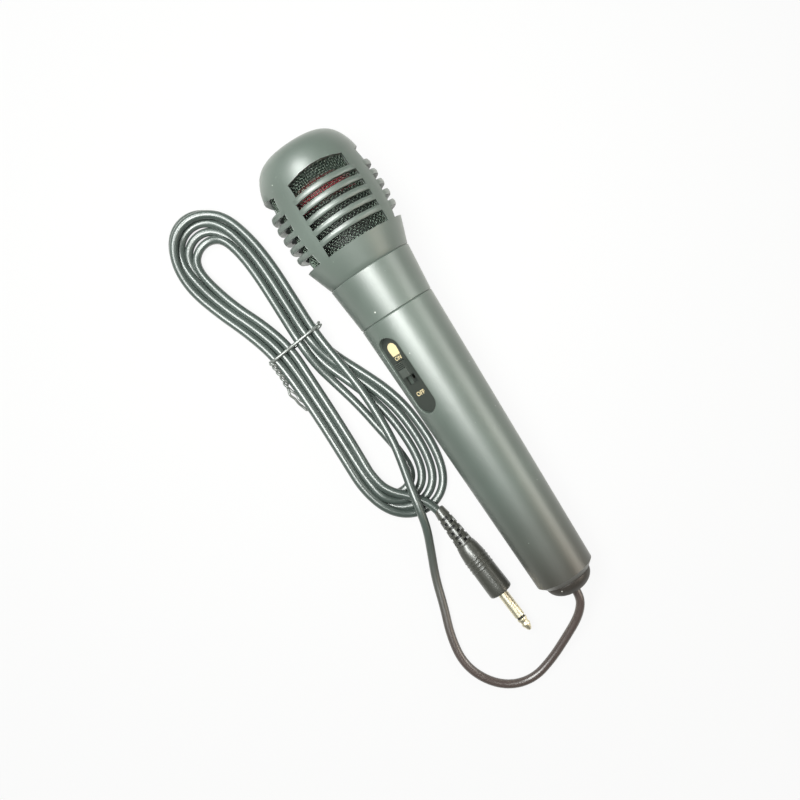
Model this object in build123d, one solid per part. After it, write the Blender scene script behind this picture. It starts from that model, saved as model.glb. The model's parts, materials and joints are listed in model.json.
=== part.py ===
from build123d import *

import math
import os

# A hand-held dynamic microphone, lying on its side with its lead tied up in a
# hank beside it. Millimetres, +Z up, +X from the tail towards the head, origin
# on the floor under the middle of the microphone.
#
# The microphone is modelled upright in its own frame: +Z along its axis from
# the cord hole to the top of the head, +X on the side that faces up when it
# lies. lay_down() then puts it on the floor, where it touches with the fattest
# ring of its head and with the rim of its tail.

# ---------------------------------------------------------------- fits
SNUG = 0.1              # radial clearance of pushed-in moulded parts
SLIDE = 0.2             # clearance round what slides
AIR = 0.3               # gap between a moving part and what it must not touch

# ---------------------------------------------------------------- handle
CORD_R = 1.5
TAIL_CAP_RISE = 4.8
TAIL_CAP_R = 8.1
TAIL_CAP_NOSE_R = 2.6
TAIL_CAP_WALL = 1.8
TAIL_CAP_SPIGOT = 6.5
RIM_CHAMFER = 2.1
RIM_R = 10.35
HANDLE_LENGTH = 109.4   # tail end to the seam below the collar
HANDLE_TOP_R = 13.2
HANDLE_WALL = 2.1
TAIL_LAND = 5.0         # length of the narrow land that holds the tail cap
TAIL_LAND_WALL = 1.3
SEAM_GROOVE = 0.3       # chamfer on both edges of a seam

# ---------------------------------------------------------------- collar
COLLAR_LENGTH = 16.2
COLLAR_TOP_R = 14.7
SOCKET_WALL = 1.7       # handle wall round the collar's spigot
SPIGOT_LENGTH = 4.8
SPIGOT_WALL = 1.5
NECK_LENGTH = 5.2
NECK_R = 13.0

# ---------------------------------------------------------------- head
HEAD_LENGTH = 46.3
HEAD_WALL = 1.8
FLARE_LENGTH = 9.0
BARREL_R = 18.75
BARREL_CURVE_R = 79.0
BARREL_MID = 21.3       # seam to the fattest ring
BARREL_TOP = 34.4       # seam to the start of the shoulder
SHOULDER_RISE = 7.9
SHOULDER_R = 14.8
SHOULDER_SWELL = 0.5
CROWN_SWELL = 0.35      # roundness of the edge between shoulder and crown
CROWN_RISE = 0.6        # height of the shallow dome on top
CROWN_R = 9.9

WINDOWS = 4
FRONT_WINDOW_TURN = 6.0
WINDOW_HALF_WIDTH = 11.0
TOP_OPENING_HALF_WIDTH = 9.8
BOTTOM_OPENING_FROM = 8.6   # seam to the lowest edge of a window
BOTTOM_OPENING_HEIGHT = 3.6
BARS = 5
BAR_WIDTH = 1.9
SLOT_HEIGHT = 1.85
TOP_OPENING_HEIGHT = 4.4
BAR_ARCH = 0.5
TOP_EDGE_ARCH = 1.6

MESH_THICK = 0.4
MESH_FROM = 8.0         # seam to the foot of the mesh
MESH_HEIGHT = 27.6

# ---------------------------------------------------------------- capsule
CAPSULE_R = 11.0
CAPSULE_FROM = 14.0     # seam to the back of the capsule frame
FRAME_HEIGHT = 10.4
FRAME_WALL = 1.0
RED_CAP_HEIGHT = 6.6
RED_CAP_WALL = 0.9
RED_CAP_HOLE_R = 0.9
RED_CAP_HOLES = 8
FILM_THICK = 0.2
FILM_RIM_WIDTH = 0.8
FILM_DOME_RISE = 1.6
FILM_FOLD_RISE = 0.8
COIL_R = 5.6
COIL_WALL = 0.35
COIL_LENGTH = 3.6
COIL_TRAVEL = 0.2       # each way from rest
POLE_GAP = 0.45
MAGNET_HEIGHT = 3.4
POLE_HEIGHT = 1.5
YOKE_FLOOR = 1.5
YOKE_WALL = 1.6
TERMINAL_BOARD_R = 6.5
TERMINAL_BOARD_THICK = 0.8
TERMINAL_OFFSET = 3.0
CUP_WALL = 1.0
CUP_FLOOR = 1.2
CUP_HEIGHT = 15.6
CUP_PLUG_LENGTH = 3.5
CUP_HOLE_R = 4.2
RUBBER_HEIGHT = 6.0
RUBBER_FROM = 3.4       # above the back of the capsule frame
LEDGE_WIDTH = 0.8

# ---------------------------------------------------------------- switch
SWITCH_BELOW_SEAM = 19.4  # seam below the collar to the middle of the recess
SWITCH_TURN = -46.0     # round the axis, from the side that faces up
RECESS_LENGTH = 28.0
RECESS_WIDTH = 8.0
RECESS_DEPTH = 2.0
PLATE_THICK = 0.6
KNOB_LENGTH = 5.3
KNOB_WIDTH = 3.5
KNOB_PROUD = 0.25       # above the handle's surface
KNOB_TRAVEL = 2.7
KNOB_RIDGES = 4
KNOB_RIDGE_DEPTH = 0.45
SLOT_OFFSET = 1.0       # the knob's slot sits this far towards the head
SEAT_THICK = 1.6        # handle material under the recess
SEAT_MARGIN = 2.0
SWITCH_PLATE_THICK = 0.5
SWITCH_EARS = 19.0
SWITCH_WIDTH = 6.0
CAN_LENGTH = 10.4
CAN_WALL = 0.4
CAN_DEPTH = 4.4
SWITCH_BASE_THICK = 1.0
SLIDER_LENGTH = 5.8
SLIDER_HEIGHT = 2.0
STEM_LENGTH = 2.8
STEM_WIDTH = 2.2
PEG_R = 0.9
PEG_SPACING = 15.0
PEG_HEAD_R = 1.6
PEG_HEAD_THICK = 0.5
LUG_PITCH = 2.9
LUG_WIDTH = 1.2
LUG_THICK = 0.4
LUG_RISE = 0.35         # contact face above the base
LUG_DROP = 2.4          # solder end below the base
BRIDGE_THICK = 0.3

# ---------------------------------------------------------------- wiring
WIRE_R = 0.45
TAG_LENGTH = 3.2
TAG_WIDTH = 1.2
WIRE_OUT_OF_CAPSULE = 14.0  # straight run of the live wire at the capsule
WIRE_TO_SWITCH = 14.0   # and its straight run at the switch
WIRE_JOIN_LIVE = 16.0   # runs side by side this far above the cord
WIRE_JOIN_GROUND = 14.0
WIRE_LEAN_LIVE = 30.0   # and starts to lean towards it here
WIRE_LEAN_GROUND = 34.0
CORD_INSIDE = 17.0
STOP_R = 3.4
STOP_LENGTH = 4.0

# ---------------------------------------------------------------- plug
BOOT_LENGTH = 14.6
BOOT_NOSE_R = 1.9
BOOT_NOSE_LENGTH = 3.4
BOOT_FIRST_R = 2.35
BOOT_R = 3.1
BOOT_ROWS = 6
BOOT_ROW_PITCH = 1.9
BOOT_SLOT = 0.95
BOOT_SLOT_WIDTH = 2.4
BOOT_CORE = 0.12        # skin left between a slot and the cord
BODY_LENGTH = 20.8
BODY_REAR_R = 3.3
BODY_MID_R = 4.0
BODY_MID_FROM = 5.0
BODY_R = 4.2
BODY_EDGE = 0.7
RIDGES = 4
RIDGE_FROM = 5.8
RIDGE_PITCH = 1.35
RIDGE_WIDTH = 0.5
RIDGE_PROUD = 0.18
SLEEVE_R = 1.75         # 3.5 mm phone plug
SLEEVE_LENGTH = 10.2
RING_LENGTH = 0.8
TIP_LENGTH = 5.0
TIP_SHOULDER_R = 1.45
TIP_NECK_R = 1.1
TIP_BULB_R = 1.4
TIP_END_R = 0.55
CORE_R = 0.8
CORE_TAIL = 2.0         # core past the sleeve, inside the body
CORE_SLEEVE_R = 1.2     # plastic tube between the core and the sleeve
PLUG_TANG = 6.0         # metal inside the plug body
PLUG_TANG_R = 1.5
INSULATOR_R = 1.4
PLUG_BOOT_AT = (-39.6, 24.0)
PLUG_HEADING = 184.6    # degrees round +Z from +X

# ---------------------------------------------------------------- hank
HANK_HEIGHT = 6.2       # two layers of cord
HANK_CORNER_R = 2.6
TIE_AT = (33.0, 34.5)
TIE_HEADING = 6.0       # the bundle's direction at the tie, from +X
TIE_WIRE_R = 0.45
TIE_SPAN = 19.0
TIE_TAIL_R = 0.8
TIE_TAIL_LENGTH = 11.0

# Outer edge of the hank, its upper loop's hole and its lower loop's hole.
HANK_EDGE = [
    (91.5, 42.0), (88.5, 50.0), (78.0, 55.5), (66.5, 55.8), (53.0, 49.8), (38.0, 44.0),
    (25.0, 43.2), (10.0, 42.6), (-9.0, 43.6), (-20.0, 43.4), (-30.5, 39.0), (-37.6, 31.8),
    (-39.2, 25.5), (-36.5, 18.5), (-27.0, 13.2), (-10.0, 13.4), (3.0, 16.8), (13.0, 22.2),
    (26.0, 24.7), (40.0, 26.0), (58.0, 24.3), (74.0, 26.4), (86.5, 32.0),
]
UPPER_HOLE = [
    (77.0, 42.0), (75.0, 46.5), (66.5, 48.0), (53.0, 43.3), (40.5, 36.2),
    (42.5, 34.0), (60.0, 32.3), (69.0, 33.0), (76.0, 37.2),
]
LOWER_HOLE = [
    (15.5, 33.4), (5.0, 35.2), (-10.0, 36.2), (-21.0, 35.4), (-26.5, 31.0),
    (-21.0, 26.4), (-8.0, 26.2), (4.0, 28.2),
]

# The lead from the tail to the hank, after a first short run straight out of
# the tail, and the short end from the hank to the plug.
TAIL_AT = -85.97
LEAD_STRAIGHT = 2.6
LEAD_ROUTE = [
    (-91.6, 1.3, 8.9), (-95.2, 5.0, 7.2), (-99.4, 11.3, 5.0), (-103.4, 18.9, 3.0),
    (-106.2, 27.6, 1.7), (-104.0, 36.0, 1.52), (-97.6, 42.2, 1.5), (-88.8, 45.4, 1.5),
    (-78.8, 44.0, 1.5), (-69.0, 40.4, 1.54), (-59.4, 37.6, 1.7), (-50.6, 33.8, 2.2),
    (-43.8, 30.6, 2.9), (-37.0, 28.6, 3.3),
]
END_ROUTE = [(-30.6, 24.9, 3.2), (-35.4, 24.3, 3.9)]

# ---------------------------------------------------------------- derived
SEAM_LOW = HANDLE_LENGTH
SWITCH_Z = SEAM_LOW - SWITCH_BELOW_SEAM
SEAM_HIGH = SEAM_LOW + COLLAR_LENGTH
HEAD_TOP = SEAM_HIGH + HEAD_LENGTH
RIM_Z = TAIL_CAP_RISE + RIM_CHAMFER
BARREL_MID_Z = SEAM_HIGH + BARREL_MID
FLARE_Z = SEAM_HIGH + FLARE_LENGTH
BARREL_TOP_Z = SEAM_HIGH + BARREL_TOP


def point(radius, height):
    """A point of a turned profile."""
    return Vector(radius, 0, height)


def turned(*edges):
    """A solid of revolution about the axis from the edges of its half section."""
    return revolve(make_face(list(edges)), Axis.Z)


def turned_outline(*corners):
    """A solid of revolution from the (radius, height) corners of its half section."""
    return turned(Polyline([point(*corner) for corner in corners], close=True))


def dome_arc(radius, rim_height, top_height):
    """Arc of a sphere centred on the axis, from a rim up or down to the axis."""
    rise = top_height - rim_height
    sphere_r = (radius ** 2 + rise ** 2) / (2 * abs(rise))
    drop = sphere_r - math.sqrt(sphere_r ** 2 - radius ** 2 / 4)
    middle = point(radius / 2, top_height - math.copysign(drop, rise))
    return ThreePointArc(point(radius, rim_height), middle, point(0, top_height))


def disc(radius, bottom, top):
    return Pos(0, 0, bottom) * Cylinder(radius, top - bottom, align=(Align.CENTER, Align.CENTER, Align.MIN))


def ring(inner, outer, bottom, top):
    return disc(outer, bottom, top) - disc(inner, bottom, top)


def slab(length, width, bottom, top, along=0.0):
    """A box centred on the origin, moved along X, between two heights."""
    box = Box(length, width, top - bottom, align=(Align.CENTER, Align.CENTER, Align.MIN))
    return Pos(along, 0, bottom) * box


def stadium(length, width, bottom, top, along=0.0):
    """A slab with round ends."""
    return Pos(along, 0, bottom) * extrude(SlotOverall(length, width), top - bottom)


def handle_radius(height):
    """Outer radius of the handle's straight taper."""
    return RIM_R + (HANDLE_TOP_R - RIM_R) * (height - RIM_Z) / (SEAM_LOW - RIM_Z)


def barrel_radius(height):
    """Outer radius of the head between its flare and its shoulder."""
    away = height - BARREL_MID_Z
    return BARREL_R - BARREL_CURVE_R + math.sqrt(BARREL_CURVE_R ** 2 - away ** 2)


# The mesh just fits in the flared foot of the hollow.
MESH_FIT = MESH_FROM / FLARE_LENGTH
MESH_R = COLLAR_TOP_R + (barrel_radius(FLARE_Z) - COLLAR_TOP_R) * MESH_FIT - HEAD_WALL - AIR


# ---------------------------------------------------------------- casing
def make_tail_cap():
    """Domed plug in the tail, with the hole that the cord comes out of."""
    spigot_r = TAIL_CAP_R - TAIL_LAND_WALL - SNUG
    cavity_r = spigot_r - TAIL_CAP_WALL
    rise = TAIL_CAP_RISE
    dome_mid = point(TAIL_CAP_NOSE_R + 0.66 * (TAIL_CAP_R - TAIL_CAP_NOSE_R), 0.36 * rise)
    rim = point(TAIL_CAP_R, rise)
    side = Polyline([
        rim, point(spigot_r, rise), point(spigot_r, rise + TAIL_CAP_SPIGOT),
        point(cavity_r, rise + TAIL_CAP_SPIGOT), point(cavity_r, TAIL_CAP_WALL),
        point(CORD_R + SNUG, TAIL_CAP_WALL), point(CORD_R + SNUG, 0), point(TAIL_CAP_NOSE_R, 0),
    ])
    dome = ThreePointArc(point(TAIL_CAP_NOSE_R, 0), dome_mid, rim)
    return turned(side, dome)


def switch_face():
    """Frame of the switch: +X towards the head, +Z out through the recess."""
    turn = math.radians(SWITCH_TURN)
    outward = (math.cos(turn), math.sin(turn), 0)
    return Plane(origin=(0, 0, SWITCH_Z), x_dir=(0, 0, 1), z_dir=outward).location


# Heights over the axis of the switch's layers, from the outside inwards.
RECESS_FLOOR = handle_radius(SWITCH_Z) - RECESS_DEPTH
PLATE_TOP = RECESS_FLOOR + PLATE_THICK
SEAT_BOTTOM = RECESS_FLOOR - SEAT_THICK
SWITCH_PLATE_BOTTOM = SEAT_BOTTOM - SWITCH_PLATE_THICK
CAN_BOTTOM = SWITCH_PLATE_BOTTOM - CAN_DEPTH
SWITCH_BASE_TOP = CAN_BOTTOM + SWITCH_BASE_THICK
LUG_TOP = SWITCH_BASE_TOP + LUG_RISE
LUG_BOTTOM = CAN_BOTTOM - LUG_DROP
BRIDGE_BOTTOM = LUG_TOP + SLIDE
SLIDER_BOTTOM = BRIDGE_BOTTOM + BRIDGE_THICK
SLIDER_TOP = SLIDER_BOTTOM + SLIDER_HEIGHT
KNOB_TOP = handle_radius(SWITCH_Z) + KNOB_PROUD
SLOT_LENGTH = KNOB_LENGTH + KNOB_TRAVEL + 2 * SLIDE
KNOB_REST = SLOT_OFFSET + KNOB_TRAVEL / 2


def make_handle():
    """Tapered tube with the switch recess, its seat and the pegs that hold the switch."""
    socket_r = HANDLE_TOP_R - SOCKET_WALL
    socket_floor = SEAM_LOW - SPIGOT_LENGTH
    land_r = TAIL_CAP_R - TAIL_LAND_WALL
    land_top = TAIL_CAP_RISE + TAIL_LAND
    groove_z = SEAM_LOW - SEAM_GROOVE
    tube = turned_outline(
        (TAIL_CAP_R, TAIL_CAP_RISE), (RIM_R, RIM_Z), (handle_radius(groove_z), groove_z),
        (HANDLE_TOP_R - SEAM_GROOVE, SEAM_LOW), (socket_r, SEAM_LOW), (socket_r, socket_floor),
        (handle_radius(socket_floor) - HANDLE_WALL, socket_floor),
        (handle_radius(land_top) - HANDLE_WALL, land_top), (land_r, land_top), (land_r, TAIL_CAP_RISE),
    )

    inside = turned_outline(
        (0, land_top), (handle_radius(land_top) - HANDLE_WALL / 2, land_top),
        (handle_radius(socket_floor) - HANDLE_WALL / 2, socket_floor), (0, socket_floor),
    )
    seat_length = RECESS_LENGTH + 2 * SEAT_MARGIN
    seat_width = RECESS_WIDTH + 2 * SEAT_MARGIN
    face = switch_face()
    seat = face * slab(seat_length, seat_width, SEAT_BOTTOM, HANDLE_TOP_R) & inside
    handle = Rot(0, 0, SWITCH_TURN + 180) * tube + seat
    handle -= face * stadium(RECESS_LENGTH, RECESS_WIDTH, RECESS_FLOOR, 2 * HANDLE_TOP_R)
    handle -= face * slab(
        SLOT_LENGTH + 2 * SLIDE, KNOB_WIDTH + 4 * SLIDE, SEAT_BOTTOM, HANDLE_TOP_R, SLOT_OFFSET
    )
    for side_of_slot in (-1, 1):
        peg = disc(PEG_R, SWITCH_PLATE_BOTTOM, SEAT_BOTTOM)
        peg += disc(PEG_HEAD_R, SWITCH_PLATE_BOTTOM - PEG_HEAD_THICK, SWITCH_PLATE_BOTTOM)
        handle += face * Pos(SLOT_OFFSET + side_of_slot * PEG_SPACING / 2, 0, 0) * peg
    return handle


def make_collar():
    """Plain ring between the seams, with a spigot for the handle and a neck for the head."""
    spigot_r = HANDLE_TOP_R - SOCKET_WALL - SNUG
    bore_r = spigot_r - SPIGOT_WALL
    return turned_outline(
        (HANDLE_TOP_R - SEAM_GROOVE, SEAM_LOW), (HANDLE_TOP_R, SEAM_LOW + SEAM_GROOVE),
        (COLLAR_TOP_R, SEAM_HIGH - SEAM_GROOVE), (COLLAR_TOP_R - SEAM_GROOVE, SEAM_HIGH),
        (NECK_R, SEAM_HIGH), (NECK_R, SEAM_HIGH + NECK_LENGTH), (bore_r, SEAM_HIGH + NECK_LENGTH),
        (bore_r, SEAM_LOW - SPIGOT_LENGTH + SNUG), (spigot_r, SEAM_LOW - SPIGOT_LENGTH + SNUG),
        (spigot_r, SEAM_LOW),
    )


# ---------------------------------------------------------------- head
def head_corners(inset):
    """Corners of the head's half section from the flare to the crown, moved in by inset."""
    shoulder_z = BARREL_TOP_Z + SHOULDER_RISE
    return [
        point(barrel_radius(FLARE_Z) - inset, FLARE_Z),
        point(BARREL_R - inset, BARREL_MID_Z),
        point(barrel_radius(BARREL_TOP_Z) - inset, BARREL_TOP_Z),
        point(SHOULDER_R - 0.9 * inset, shoulder_z - 0.3 * inset),
        point(CROWN_R - 0.35 * inset, HEAD_TOP - CROWN_RISE - inset),
    ]


def head_skin(foot):
    """Edges of the head's outline from its foot up to the axis."""
    flare, belly, barrel, shoulder, crown = head_corners(0)
    bulge = (barrel + shoulder) / 2 + Vector(SHOULDER_SWELL, 0, SHOULDER_SWELL / 3)
    corner = (shoulder + crown) / 2 + Vector(CROWN_SWELL, 0, CROWN_SWELL)
    return [
        Line(foot, flare),
        ThreePointArc(flare, belly, barrel),
        ThreePointArc(barrel, bulge, shoulder),
        ThreePointArc(shoulder, corner, crown),
        dome_arc(crown.X, crown.Z, HEAD_TOP),
    ]


def window_face(index):
    """Frame of one window: +Y along the axis, +Z outwards."""
    turn = math.radians(FRONT_WINDOW_TURN + index * 360 / WINDOWS)
    across = (-math.sin(turn), math.cos(turn), 0)
    outward = (math.cos(turn), math.sin(turn), 0)
    return Plane(origin=(0, 0, 0), x_dir=across, z_dir=outward).location


def opening_cutter(half_width, low, high, low_arch, high_arch):
    """Tool for one opening between two arched bars, drawn out square to the window."""
    corners = [(-half_width, low), (half_width, low), (half_width, high), (-half_width, high)]
    sill = ThreePointArc(corners[0], (0, low + low_arch), corners[1])
    lintel = ThreePointArc(corners[2], (0, high + high_arch), corners[3])
    outline = make_face([sill, Line(corners[1], corners[2]), lintel, Line(corners[3], corners[0])])
    reach = BARREL_R - HEAD_WALL - MESH_R
    start = math.sqrt((BARREL_R - HEAD_WALL) ** 2 - half_width ** 2) - reach
    return Pos(0, 0, start) * extrude(outline, BARREL_R + reach - start)


def window_openings():
    """(half width, low edge, high edge, arch of each edge) from the bottom up."""
    low = SEAM_HIGH + BOTTOM_OPENING_FROM
    high = low + BOTTOM_OPENING_HEIGHT
    openings = [(WINDOW_HALF_WIDTH, low, high, 0.3 * BAR_ARCH, BAR_ARCH)]
    for _ in range(BARS - 1):
        low = high + BAR_WIDTH
        high = low + SLOT_HEIGHT
        openings.append((WINDOW_HALF_WIDTH, low, high, BAR_ARCH, BAR_ARCH))
    low = high + BAR_WIDTH
    high = low + TOP_OPENING_HEIGHT
    openings.append((TOP_OPENING_HALF_WIDTH, low, high, BAR_ARCH, TOP_EDGE_ARCH))
    return openings


def make_head_grille():
    """Moulded head with four barred windows and a bore for the collar's neck."""
    foot = point(COLLAR_TOP_R, SEAM_HIGH + SEAM_GROOVE)
    groove = point(COLLAR_TOP_R - SEAM_GROOVE, SEAM_HIGH)
    neck_top = SEAM_HIGH + NECK_LENGTH
    axis_line = Line(point(0, HEAD_TOP), point(0, SEAM_HIGH))
    base_line = Polyline([point(0, SEAM_HIGH), groove, foot])
    head = turned(*head_skin(foot), axis_line, base_line)

    inner = [point(COLLAR_TOP_R - HEAD_WALL, SEAM_HIGH), *head_corners(HEAD_WALL)]
    roof = point(0, HEAD_TOP - HEAD_WALL)
    hollow = turned(Polyline([*inner, roof, point(0, SEAM_HIGH)], close=True))
    hollow -= disc(2 * BARREL_R, SEAM_HIGH - 1, neck_top)
    head -= hollow
    head -= disc(NECK_R + SNUG, SEAM_HIGH, neck_top)
    for index in range(WINDOWS):
        face = window_face(index)
        for opening in window_openings():
            head -= face * opening_cutter(*opening)
    return head


def make_mesh():
    """Rolled strip of wire mesh behind the windows."""
    foot = SEAM_HIGH + MESH_FROM
    return ring(MESH_R - MESH_THICK, MESH_R, foot, foot + MESH_HEIGHT)


# ---------------------------------------------------------------- capsule
FRAME_BACK = SEAM_HIGH + CAPSULE_FROM
FRAME_FRONT = FRAME_BACK + FRAME_HEIGHT
CAP_FRONT = FRAME_FRONT + RED_CAP_HEIGHT
YOKE_R = COIL_R + POLE_GAP + YOKE_WALL
POLE_R = COIL_R - COIL_WALL - POLE_GAP
COIL_TOP = FRAME_FRONT + COIL_TRAVEL + AIR
MAGNET_BACK = COIL_TOP - COIL_LENGTH - MAGNET_HEIGHT + POLE_HEIGHT
POLE_BACK = MAGNET_BACK + MAGNET_HEIGHT
YOKE_BACK = MAGNET_BACK - YOKE_FLOOR
YOKE_FRONT = POLE_BACK + POLE_HEIGHT
BOARD_BACK = YOKE_BACK - TERMINAL_BOARD_THICK
CUP_BASE = SEAM_HIGH + NECK_LENGTH
CUP_INNER_R = NECK_R - CUP_WALL


def make_cradle():
    """Cup on the collar's neck that carries the capsule in its rubber ring."""
    bore_r = HANDLE_TOP_R - SOCKET_WALL - SNUG - SPIGOT_WALL
    plug_r = bore_r - SNUG
    ledge = FRAME_BACK + RUBBER_FROM
    return turned_outline(
        (CUP_HOLE_R, CUP_BASE - CUP_PLUG_LENGTH), (plug_r, CUP_BASE - CUP_PLUG_LENGTH),
        (plug_r, CUP_BASE), (NECK_R, CUP_BASE), (NECK_R, CUP_BASE + CUP_HEIGHT),
        (CUP_INNER_R, CUP_BASE + CUP_HEIGHT), (CUP_INNER_R, ledge), (CUP_INNER_R - LEDGE_WIDTH, ledge),
        (CUP_INNER_R - LEDGE_WIDTH, CUP_BASE + CUP_FLOOR), (CUP_HOLE_R, CUP_BASE + CUP_FLOOR),
    )


def make_shock_ring():
    """Rubber ring between the capsule and its cup."""
    low = FRAME_BACK + RUBBER_FROM
    return ring(CAPSULE_R, CUP_INNER_R, low, low + RUBBER_HEIGHT)


def make_capsule_frame():
    """Plastic basket that holds the magnet system and the rim of the film."""
    wall_r = CAPSULE_R - FRAME_WALL
    seat_r = CAPSULE_R - FRAME_WALL - 2 * FILM_RIM_WIDTH
    return turned_outline(
        (YOKE_R, FRAME_BACK), (CAPSULE_R, FRAME_BACK), (CAPSULE_R, FRAME_FRONT),
        (wall_r, FRAME_FRONT), (wall_r, FRAME_FRONT - 1), (seat_r, FRAME_FRONT - 1),
        (seat_r, FRAME_BACK + 2 * FRAME_WALL), (YOKE_R, FRAME_BACK + 2 * FRAME_WALL),
    )


def make_red_cap():
    """Red front cap of the capsule, with a ring of sound holes and one in the middle."""
    inner_r = CAPSULE_R - RED_CAP_WALL
    shell = turned_outline(
        (0, CAP_FRONT), (CAPSULE_R - RED_CAP_WALL, CAP_FRONT), (CAPSULE_R, CAP_FRONT - RED_CAP_WALL),
        (CAPSULE_R, FRAME_FRONT), (inner_r, FRAME_FRONT), (inner_r, CAP_FRONT - RED_CAP_WALL),
        (0, CAP_FRONT - RED_CAP_WALL),
    )
    hole = disc(RED_CAP_HOLE_R, CAP_FRONT - 2 * RED_CAP_WALL, CAP_FRONT + RED_CAP_WALL)
    shell -= hole
    for index in range(RED_CAP_HOLES):
        shell -= Rot(0, 0, index * 360 / RED_CAP_HOLES) * Pos(CAPSULE_R * 0.55, 0, 0) * hole
    return shell


def make_film():
    """Diaphragm: a thin stepped dome over the coil and a folded surround."""
    rim_r = CAPSULE_R - FRAME_WALL - AIR
    fold_end = rim_r - FILM_RIM_WIDTH
    fold_mid = (COIL_R + fold_end) / 2
    lower = [
        (0, COIL_TOP + FILM_DOME_RISE), (COIL_R / 2, COIL_TOP + 0.8 * FILM_DOME_RISE), (COIL_R, COIL_TOP),
        (COIL_R + COIL_WALL, COIL_TOP), (fold_mid, COIL_TOP + FILM_FOLD_RISE), (fold_end, COIL_TOP),
        (rim_r, COIL_TOP),
    ]
    upper = [(radius, height + FILM_THICK) for radius, height in reversed(lower)]
    return turned_outline(*lower, *upper)


def make_capsule():
    """Pieces of the moving-coil capsule by node name."""
    tag = slab(TAG_WIDTH, LUG_THICK, BOARD_BACK - TAG_LENGTH, BOARD_BACK)
    tags = [switch_turn() * Pos(side * TERMINAL_OFFSET, 0, 0) * tag for side in (-1, 1)]
    yoke = turned_outline(
        (0, YOKE_BACK), (YOKE_R, YOKE_BACK), (YOKE_R, YOKE_FRONT), (COIL_R + POLE_GAP, YOKE_FRONT),
        (COIL_R + POLE_GAP, MAGNET_BACK), (0, MAGNET_BACK),
    )
    return {
        "capsule_cap": make_red_cap(),
        "capsule_frame": make_capsule_frame(),
        "diaphragm": make_film(),
        "voice_coil": ring(COIL_R - COIL_WALL, COIL_R, COIL_TOP - COIL_LENGTH, COIL_TOP),
        "pole_piece": disc(POLE_R, POLE_BACK, YOKE_FRONT),
        "magnet": disc(POLE_R - 0.2, MAGNET_BACK, POLE_BACK),
        "magnet_yoke": yoke,
        "capsule_board": disc(TERMINAL_BOARD_R, BOARD_BACK, YOKE_BACK),
        "capsule_tags": Compound(children=tags),
    }


# ---------------------------------------------------------------- switch
def switch_turn():
    """Turn about the axis that brings +X round to the switch."""
    return Rot(0, 0, SWITCH_TURN)


def make_knob():
    """Ridged thumb slide."""
    bottom = SEAT_BOTTOM + AIR
    knob = slab(KNOB_LENGTH, KNOB_WIDTH, bottom, KNOB_TOP, KNOB_REST)
    pitch = KNOB_LENGTH / (KNOB_RIDGES + 0.5)
    for index in range(KNOB_RIDGES):
        along = KNOB_REST + (index - (KNOB_RIDGES - 1) / 2) * pitch
        knob -= slab(pitch * 0.5, 2 * KNOB_WIDTH, KNOB_TOP - KNOB_RIDGE_DEPTH, KNOB_TOP + 1, along)
    return knob


def make_switch():
    """Pieces of the slide switch by node name."""
    plate = stadium(RECESS_LENGTH - 2 * SNUG, RECESS_WIDTH - 2 * SNUG, RECESS_FLOOR, PLATE_TOP)
    plate -= slab(SLOT_LENGTH, KNOB_WIDTH + 2 * SLIDE, RECESS_FLOOR - 1, PLATE_TOP + 1, SLOT_OFFSET)

    frame = slab(SWITCH_EARS, SWITCH_WIDTH, SWITCH_PLATE_BOTTOM, SEAT_BOTTOM, SLOT_OFFSET)
    frame += slab(CAN_LENGTH, SWITCH_WIDTH, CAN_BOTTOM, SEAT_BOTTOM, SLOT_OFFSET)
    frame -= slab(
        CAN_LENGTH - 2 * CAN_WALL, SWITCH_WIDTH - 2 * CAN_WALL, CAN_BOTTOM - 1, SWITCH_PLATE_BOTTOM, SLOT_OFFSET
    )
    stem_slot = STEM_LENGTH + KNOB_TRAVEL + 2 * SLIDE
    frame -= slab(stem_slot, STEM_WIDTH + 2 * SLIDE, SWITCH_PLATE_BOTTOM - 1, SEAT_BOTTOM + 1, SLOT_OFFSET)
    for end in (-1, 1):
        hole = disc(PEG_R + SNUG, SWITCH_PLATE_BOTTOM - 1, SEAT_BOTTOM + 1)
        frame -= Pos(SLOT_OFFSET + end * PEG_SPACING / 2, 0, 0) * hole

    inside_length = CAN_LENGTH - 2 * CAN_WALL - 2 * SNUG
    inside_width = SWITCH_WIDTH - 2 * CAN_WALL - 2 * SNUG
    base = slab(inside_length, inside_width, CAN_BOTTOM, SWITCH_BASE_TOP, SLOT_OFFSET)
    lugs = []
    for index in (-1, 0, 1):
        along = SLOT_OFFSET + index * LUG_PITCH
        lug = slab(LUG_WIDTH, LUG_THICK, LUG_BOTTOM, LUG_TOP, along)
        base -= slab(LUG_WIDTH, LUG_THICK, CAN_BOTTOM - 1, SWITCH_BASE_TOP + 1, along)
        lugs.append(lug)

    slider_width = inside_width - 2 * SLIDE
    slider = slab(SLIDER_LENGTH, slider_width, SLIDER_BOTTOM, SLIDER_TOP, KNOB_REST)
    slider += slab(STEM_LENGTH, STEM_WIDTH, SLIDER_TOP, SEAT_BOTTOM + AIR, KNOB_REST)
    bridge = slab(LUG_PITCH + LUG_WIDTH, 1.6, BRIDGE_BOTTOM, SLIDER_BOTTOM, KNOB_REST)
    pieces = {
        "switch_plate": plate,
        "switch_knob": make_knob(),
        "switch_frame": frame,
        "switch_base": base,
        "switch_lugs": Compound(children=lugs),
        "switch_slider": slider,
        "switch_bridge": bridge,
    }
    return {name: placed(switch_face(), piece) for name, piece in pieces.items()}


# ---------------------------------------------------------------- cords
def corner_radii(points):
    """Largest bend at each inner point: 0.45 of the shorter run over tan(half the turn)."""
    radii = []
    for before, here, after in zip(points, points[1:], points[2:]):
        run_in, run_out = here - before, after - here
        half_turn = math.radians(run_in.get_angle(run_out)) / 2
        radii.append(0.45 * min(run_in.length, run_out.length) / math.tan(half_turn))
    return radii


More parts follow.
